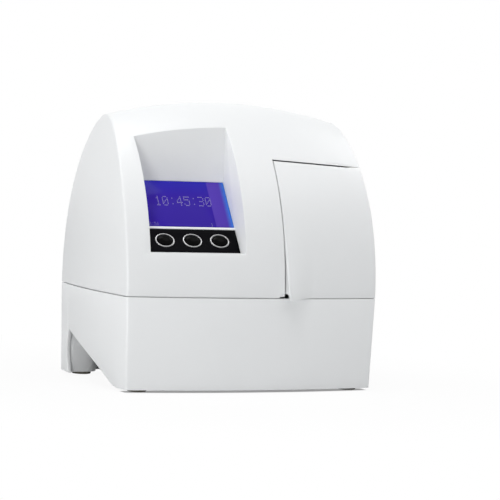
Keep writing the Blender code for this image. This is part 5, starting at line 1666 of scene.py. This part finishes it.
@dataclass
class Studio:
    """White table and backdrop, soft lamps and the camera of the photograph."""

    lens: float = 172.8
    sensor: float = 36.0
    turn: float = math.radians(24.6)
    pitch: float = math.radians(3.24)
    roll: float = math.radians(2.43)
    target: Place = (0.0, 0.00252, 0.100)
    distance: float = 1.76235
    shift: Point = (0.0573, -0.0073)
    clip: Point = (0.05, 30)
    ambient: float = 0.15
    sky: Place = (0.93, 0.97, 1)
    bench_size: float = 12
    bench_tone: float = 0.8
    fade: tuple = (0.12, 0.32, 0.93, 1.0)
    # start behind the front edge, reach behind the front corners, half width and strength of the painted contact shadow
    # on the bench
    contact: tuple = (0.0035, 0.0130, 0.0955, 0.7)
    aim: Place = (0, 0, 0.1)
    lamps: tuple = (((-0.25, -0.15, 1.65), 1.0, 13.6), ((-0.80, -0.90, 0.10), 0.3, 4.3),
                    ((0.60, -0.80, 1.40), 0.8, 3.6), ((-1.10, 0.30, 0.90), 0.8, 4.2),
                    ((-1.00, -0.45, 0.08), 0.3, 0.9), ((1.20, 0.00, 1.00), 0.8, 6.7))

    def build(self) -> None:
        """Floor, world, lamps and camera."""
        self.build_floor()
        self.build_world()
        for place, size, power in self.lamps:
            self.add_lamp(place, size, power)
        self.add_camera()

    def build_floor(self) -> None:
        """White table that keeps the object's shadow."""
        start_fresh()
        bpy.ops.mesh.primitive_plane_add(size=self.bench_size)
        floor = bpy.context.object
        floor.name = "table"
        made = bpy.data.materials.new("table_white")
        made.use_nodes = True
        nodes, links = made.node_tree.nodes, made.node_tree.links
        nodes.remove(nodes["Principled BSDF"])
        out = nodes["Material Output"]
        path = nodes.new("ShaderNodeLightPath")
        matt = nodes.new("ShaderNodeBsdfDiffuse")
        matt.inputs["Color"].default_value = (self.bench_tone, self.bench_tone, self.bench_tone, 1)
        glow = nodes.new("ShaderNodeEmission")
        glow.inputs["Color"].default_value = (1, 1, 1, 1)
        glow.inputs["Strength"].default_value = 1.0
        reach = nodes.new("ShaderNodeVectorMath")
        reach.operation = "LENGTH"
        links.new(nodes.new("ShaderNodeTexCoord").outputs["Object"], reach.inputs[0])
        fade = nodes.new("ShaderNodeMapRange")
        fade.interpolation_type = "SMOOTHSTEP"
        for socket, value in zip(("From Min", "From Max", "To Min", "To Max"), self.fade):
            fade.inputs[socket].default_value = value
        links.new(reach.outputs["Value"], fade.inputs["Value"])
        mix = nodes.new("ShaderNodeMixShader")
        lit = self.reckon(nodes, links, "MULTIPLY", path.outputs["Is Camera Ray"], fade.outputs["Result"])
        # the painted contact shadow lowers the camera's glow share under the front edge
        links.new(self.reckon(nodes, links, "MULTIPLY", lit, self.painted_contact_shadow(nodes, links)), mix.inputs[0])
        links.new(matt.outputs["BSDF"], mix.inputs[1])
        links.new(glow.outputs["Emission"], mix.inputs[2])
        links.new(mix.outputs["Shader"], out.inputs["Surface"])
        floor.data.materials.append(made)

    def reckon(self, nodes: bpy.types.Nodes, links: bpy.types.NodeLinks, operation: str,
               first: bpy.types.NodeSocket | float, second: bpy.types.NodeSocket | float) -> bpy.types.NodeSocket:
        """One sum of two values in a material.

        Args:
            nodes: Nodes of the material.
            links: Links of the material.
            operation: What is done with them.
            first: First value, as a socket or a number.
            second: Second value, likewise.

        Returns:
            Socket with the result.
        """
        node = nodes.new("ShaderNodeMath")
        node.operation = operation
        for socket, value in zip(node.inputs, (first, second)):
            if isinstance(value, bpy.types.NodeSocket):
                links.new(value, socket)
            else:
                socket.default_value = value
        return node.outputs["Value"]

    def painted_contact_shadow(self, nodes: bpy.types.Nodes, links: bpy.types.NodeLinks) -> bpy.types.NodeSocket:
        """Painted contact shadow under the base's front edge: there the bench's white glow is cut back, so its diffuse
        grey shows, partly the base's real shadow and partly painted by this mask.

        Args:
            nodes: Nodes of the bench's material.
            links: Links of the bench's material.

        Returns:
            Socket that is low under the front edge and 1 elsewhere.
        """
        start, reach, half, dark = self.contact
        place = nodes.new("ShaderNodeSeparateXYZ")
        links.new(nodes.new("ShaderNodeTexCoord").outputs["Object"], place.inputs[0])
        across, along = place.outputs["X"], place.outputs["Y"]
        square = self.reckon(nodes, links, "MULTIPLY", across, across)
        bulge = self.reckon(nodes, links, "MULTIPLY", square, FORM.front_bulge / FORM.half ** 2)
        front = self.reckon(nodes, links, "ADD", bulge, FORM.front_y - FORM.front_bulge)
        inside = self.reckon(nodes, links, "SUBTRACT", along, front)
        behind = self.reckon(nodes, links, "GREATER_THAN", inside, start)
        before = self.reckon(nodes, links, "LESS_THAN", along, FORM.front_y + reach)
        width = self.reckon(nodes, links, "LESS_THAN", square, half * half)
        under = self.reckon(nodes, links, "MULTIPLY", self.reckon(nodes, links, "MULTIPLY", behind, before), width)
        return self.reckon(nodes, links, "SUBTRACT", 1.0, self.reckon(nodes, links, "MULTIPLY", under, dark))

    def build_world(self) -> None:
        """White behind everything that is seen, and plain soft light on the object."""
        world = bpy.data.worlds.new("studio")
        bpy.context.scene.world = world
        world.use_nodes = True
        nodes, links = world.node_tree.nodes, world.node_tree.links
        seen = nodes["Background"]
        seen.inputs["Color"].default_value = (1, 1, 1, 1)
        seen.inputs["Strength"].default_value = 1.0
        soft = nodes.new("ShaderNodeBackground")
        soft.inputs["Color"].default_value = (*self.sky, 1)
        soft.inputs["Strength"].default_value = self.ambient
        path = nodes.new("ShaderNodeLightPath").outputs
        either = self.reckon(nodes, links, "MAXIMUM", path["Is Camera Ray"], path["Is Glossy Ray"])
        mix = nodes.new("ShaderNodeMixShader")
        links.new(self.reckon(nodes, links, "MAXIMUM", either, path["Is Transmission Ray"]), mix.inputs[0])
        links.new(soft.outputs["Background"], mix.inputs[1])
        links.new(seen.outputs["Background"], mix.inputs[2])
        links.new(mix.outputs["Shader"], nodes["World Output"].inputs["Surface"])

    def add_lamp(self, place: Place, size: float, power: float) -> None:
        """One soft lamp aimed at the object.

        Args:
            place: Where it stands.
            size: Width of its square face.
            power: Its power, in watts.
        """
        data = bpy.data.lights.new("soft_lamp", "AREA")
        data.size, data.energy = size, power
        lamp = bpy.data.objects.new("soft_lamp", data)
        bpy.context.scene.collection.objects.link(lamp)
        lamp.location = place
        lamp.rotation_euler = (Vector(self.aim) - Vector(place)).to_track_quat("-Z", "Y").to_euler()

    def add_camera(self) -> None:
        """The camera at the photograph's angle."""
        data = bpy.data.cameras.new("camera")
        data.lens, data.sensor_width = self.lens, self.sensor
        data.shift_x, data.shift_y = self.shift
        data.clip_start, data.clip_end = self.clip
        camera = bpy.data.objects.new("camera", data)
        bpy.context.scene.collection.objects.link(camera)
        forward = Vector((math.sin(self.turn) * math.cos(self.pitch), math.cos(self.turn) * math.cos(self.pitch),
                          -math.sin(self.pitch)))
        right = Vector((math.cos(self.turn), -math.sin(self.turn), 0))
        above = right.cross(forward)
        across = right * math.cos(self.roll) + above * math.sin(self.roll)
        up = above * math.cos(self.roll) - right * math.sin(self.roll)
        axes = Matrix((across, up, -forward)).transposed().to_4x4()
        camera.matrix_world = Matrix.Translation(Vector(self.target) - forward * self.distance) @ axes
        bpy.context.scene.camera = camera


def main() -> None:
    """Builds every sub-assembly in order."""
    logging.basicConfig(level=logging.INFO, format="%(name)s %(message)s")
    bpy.context.scene.view_settings.view_transform = "Standard"
    Studio().build()
    Housing().build()
    Door().build()
    DisplayPanel().build()
    Keypad().build()
    RearPorts().build()
    dress_solids()
    start_fresh()


if __name__ == "__main__":
    main()
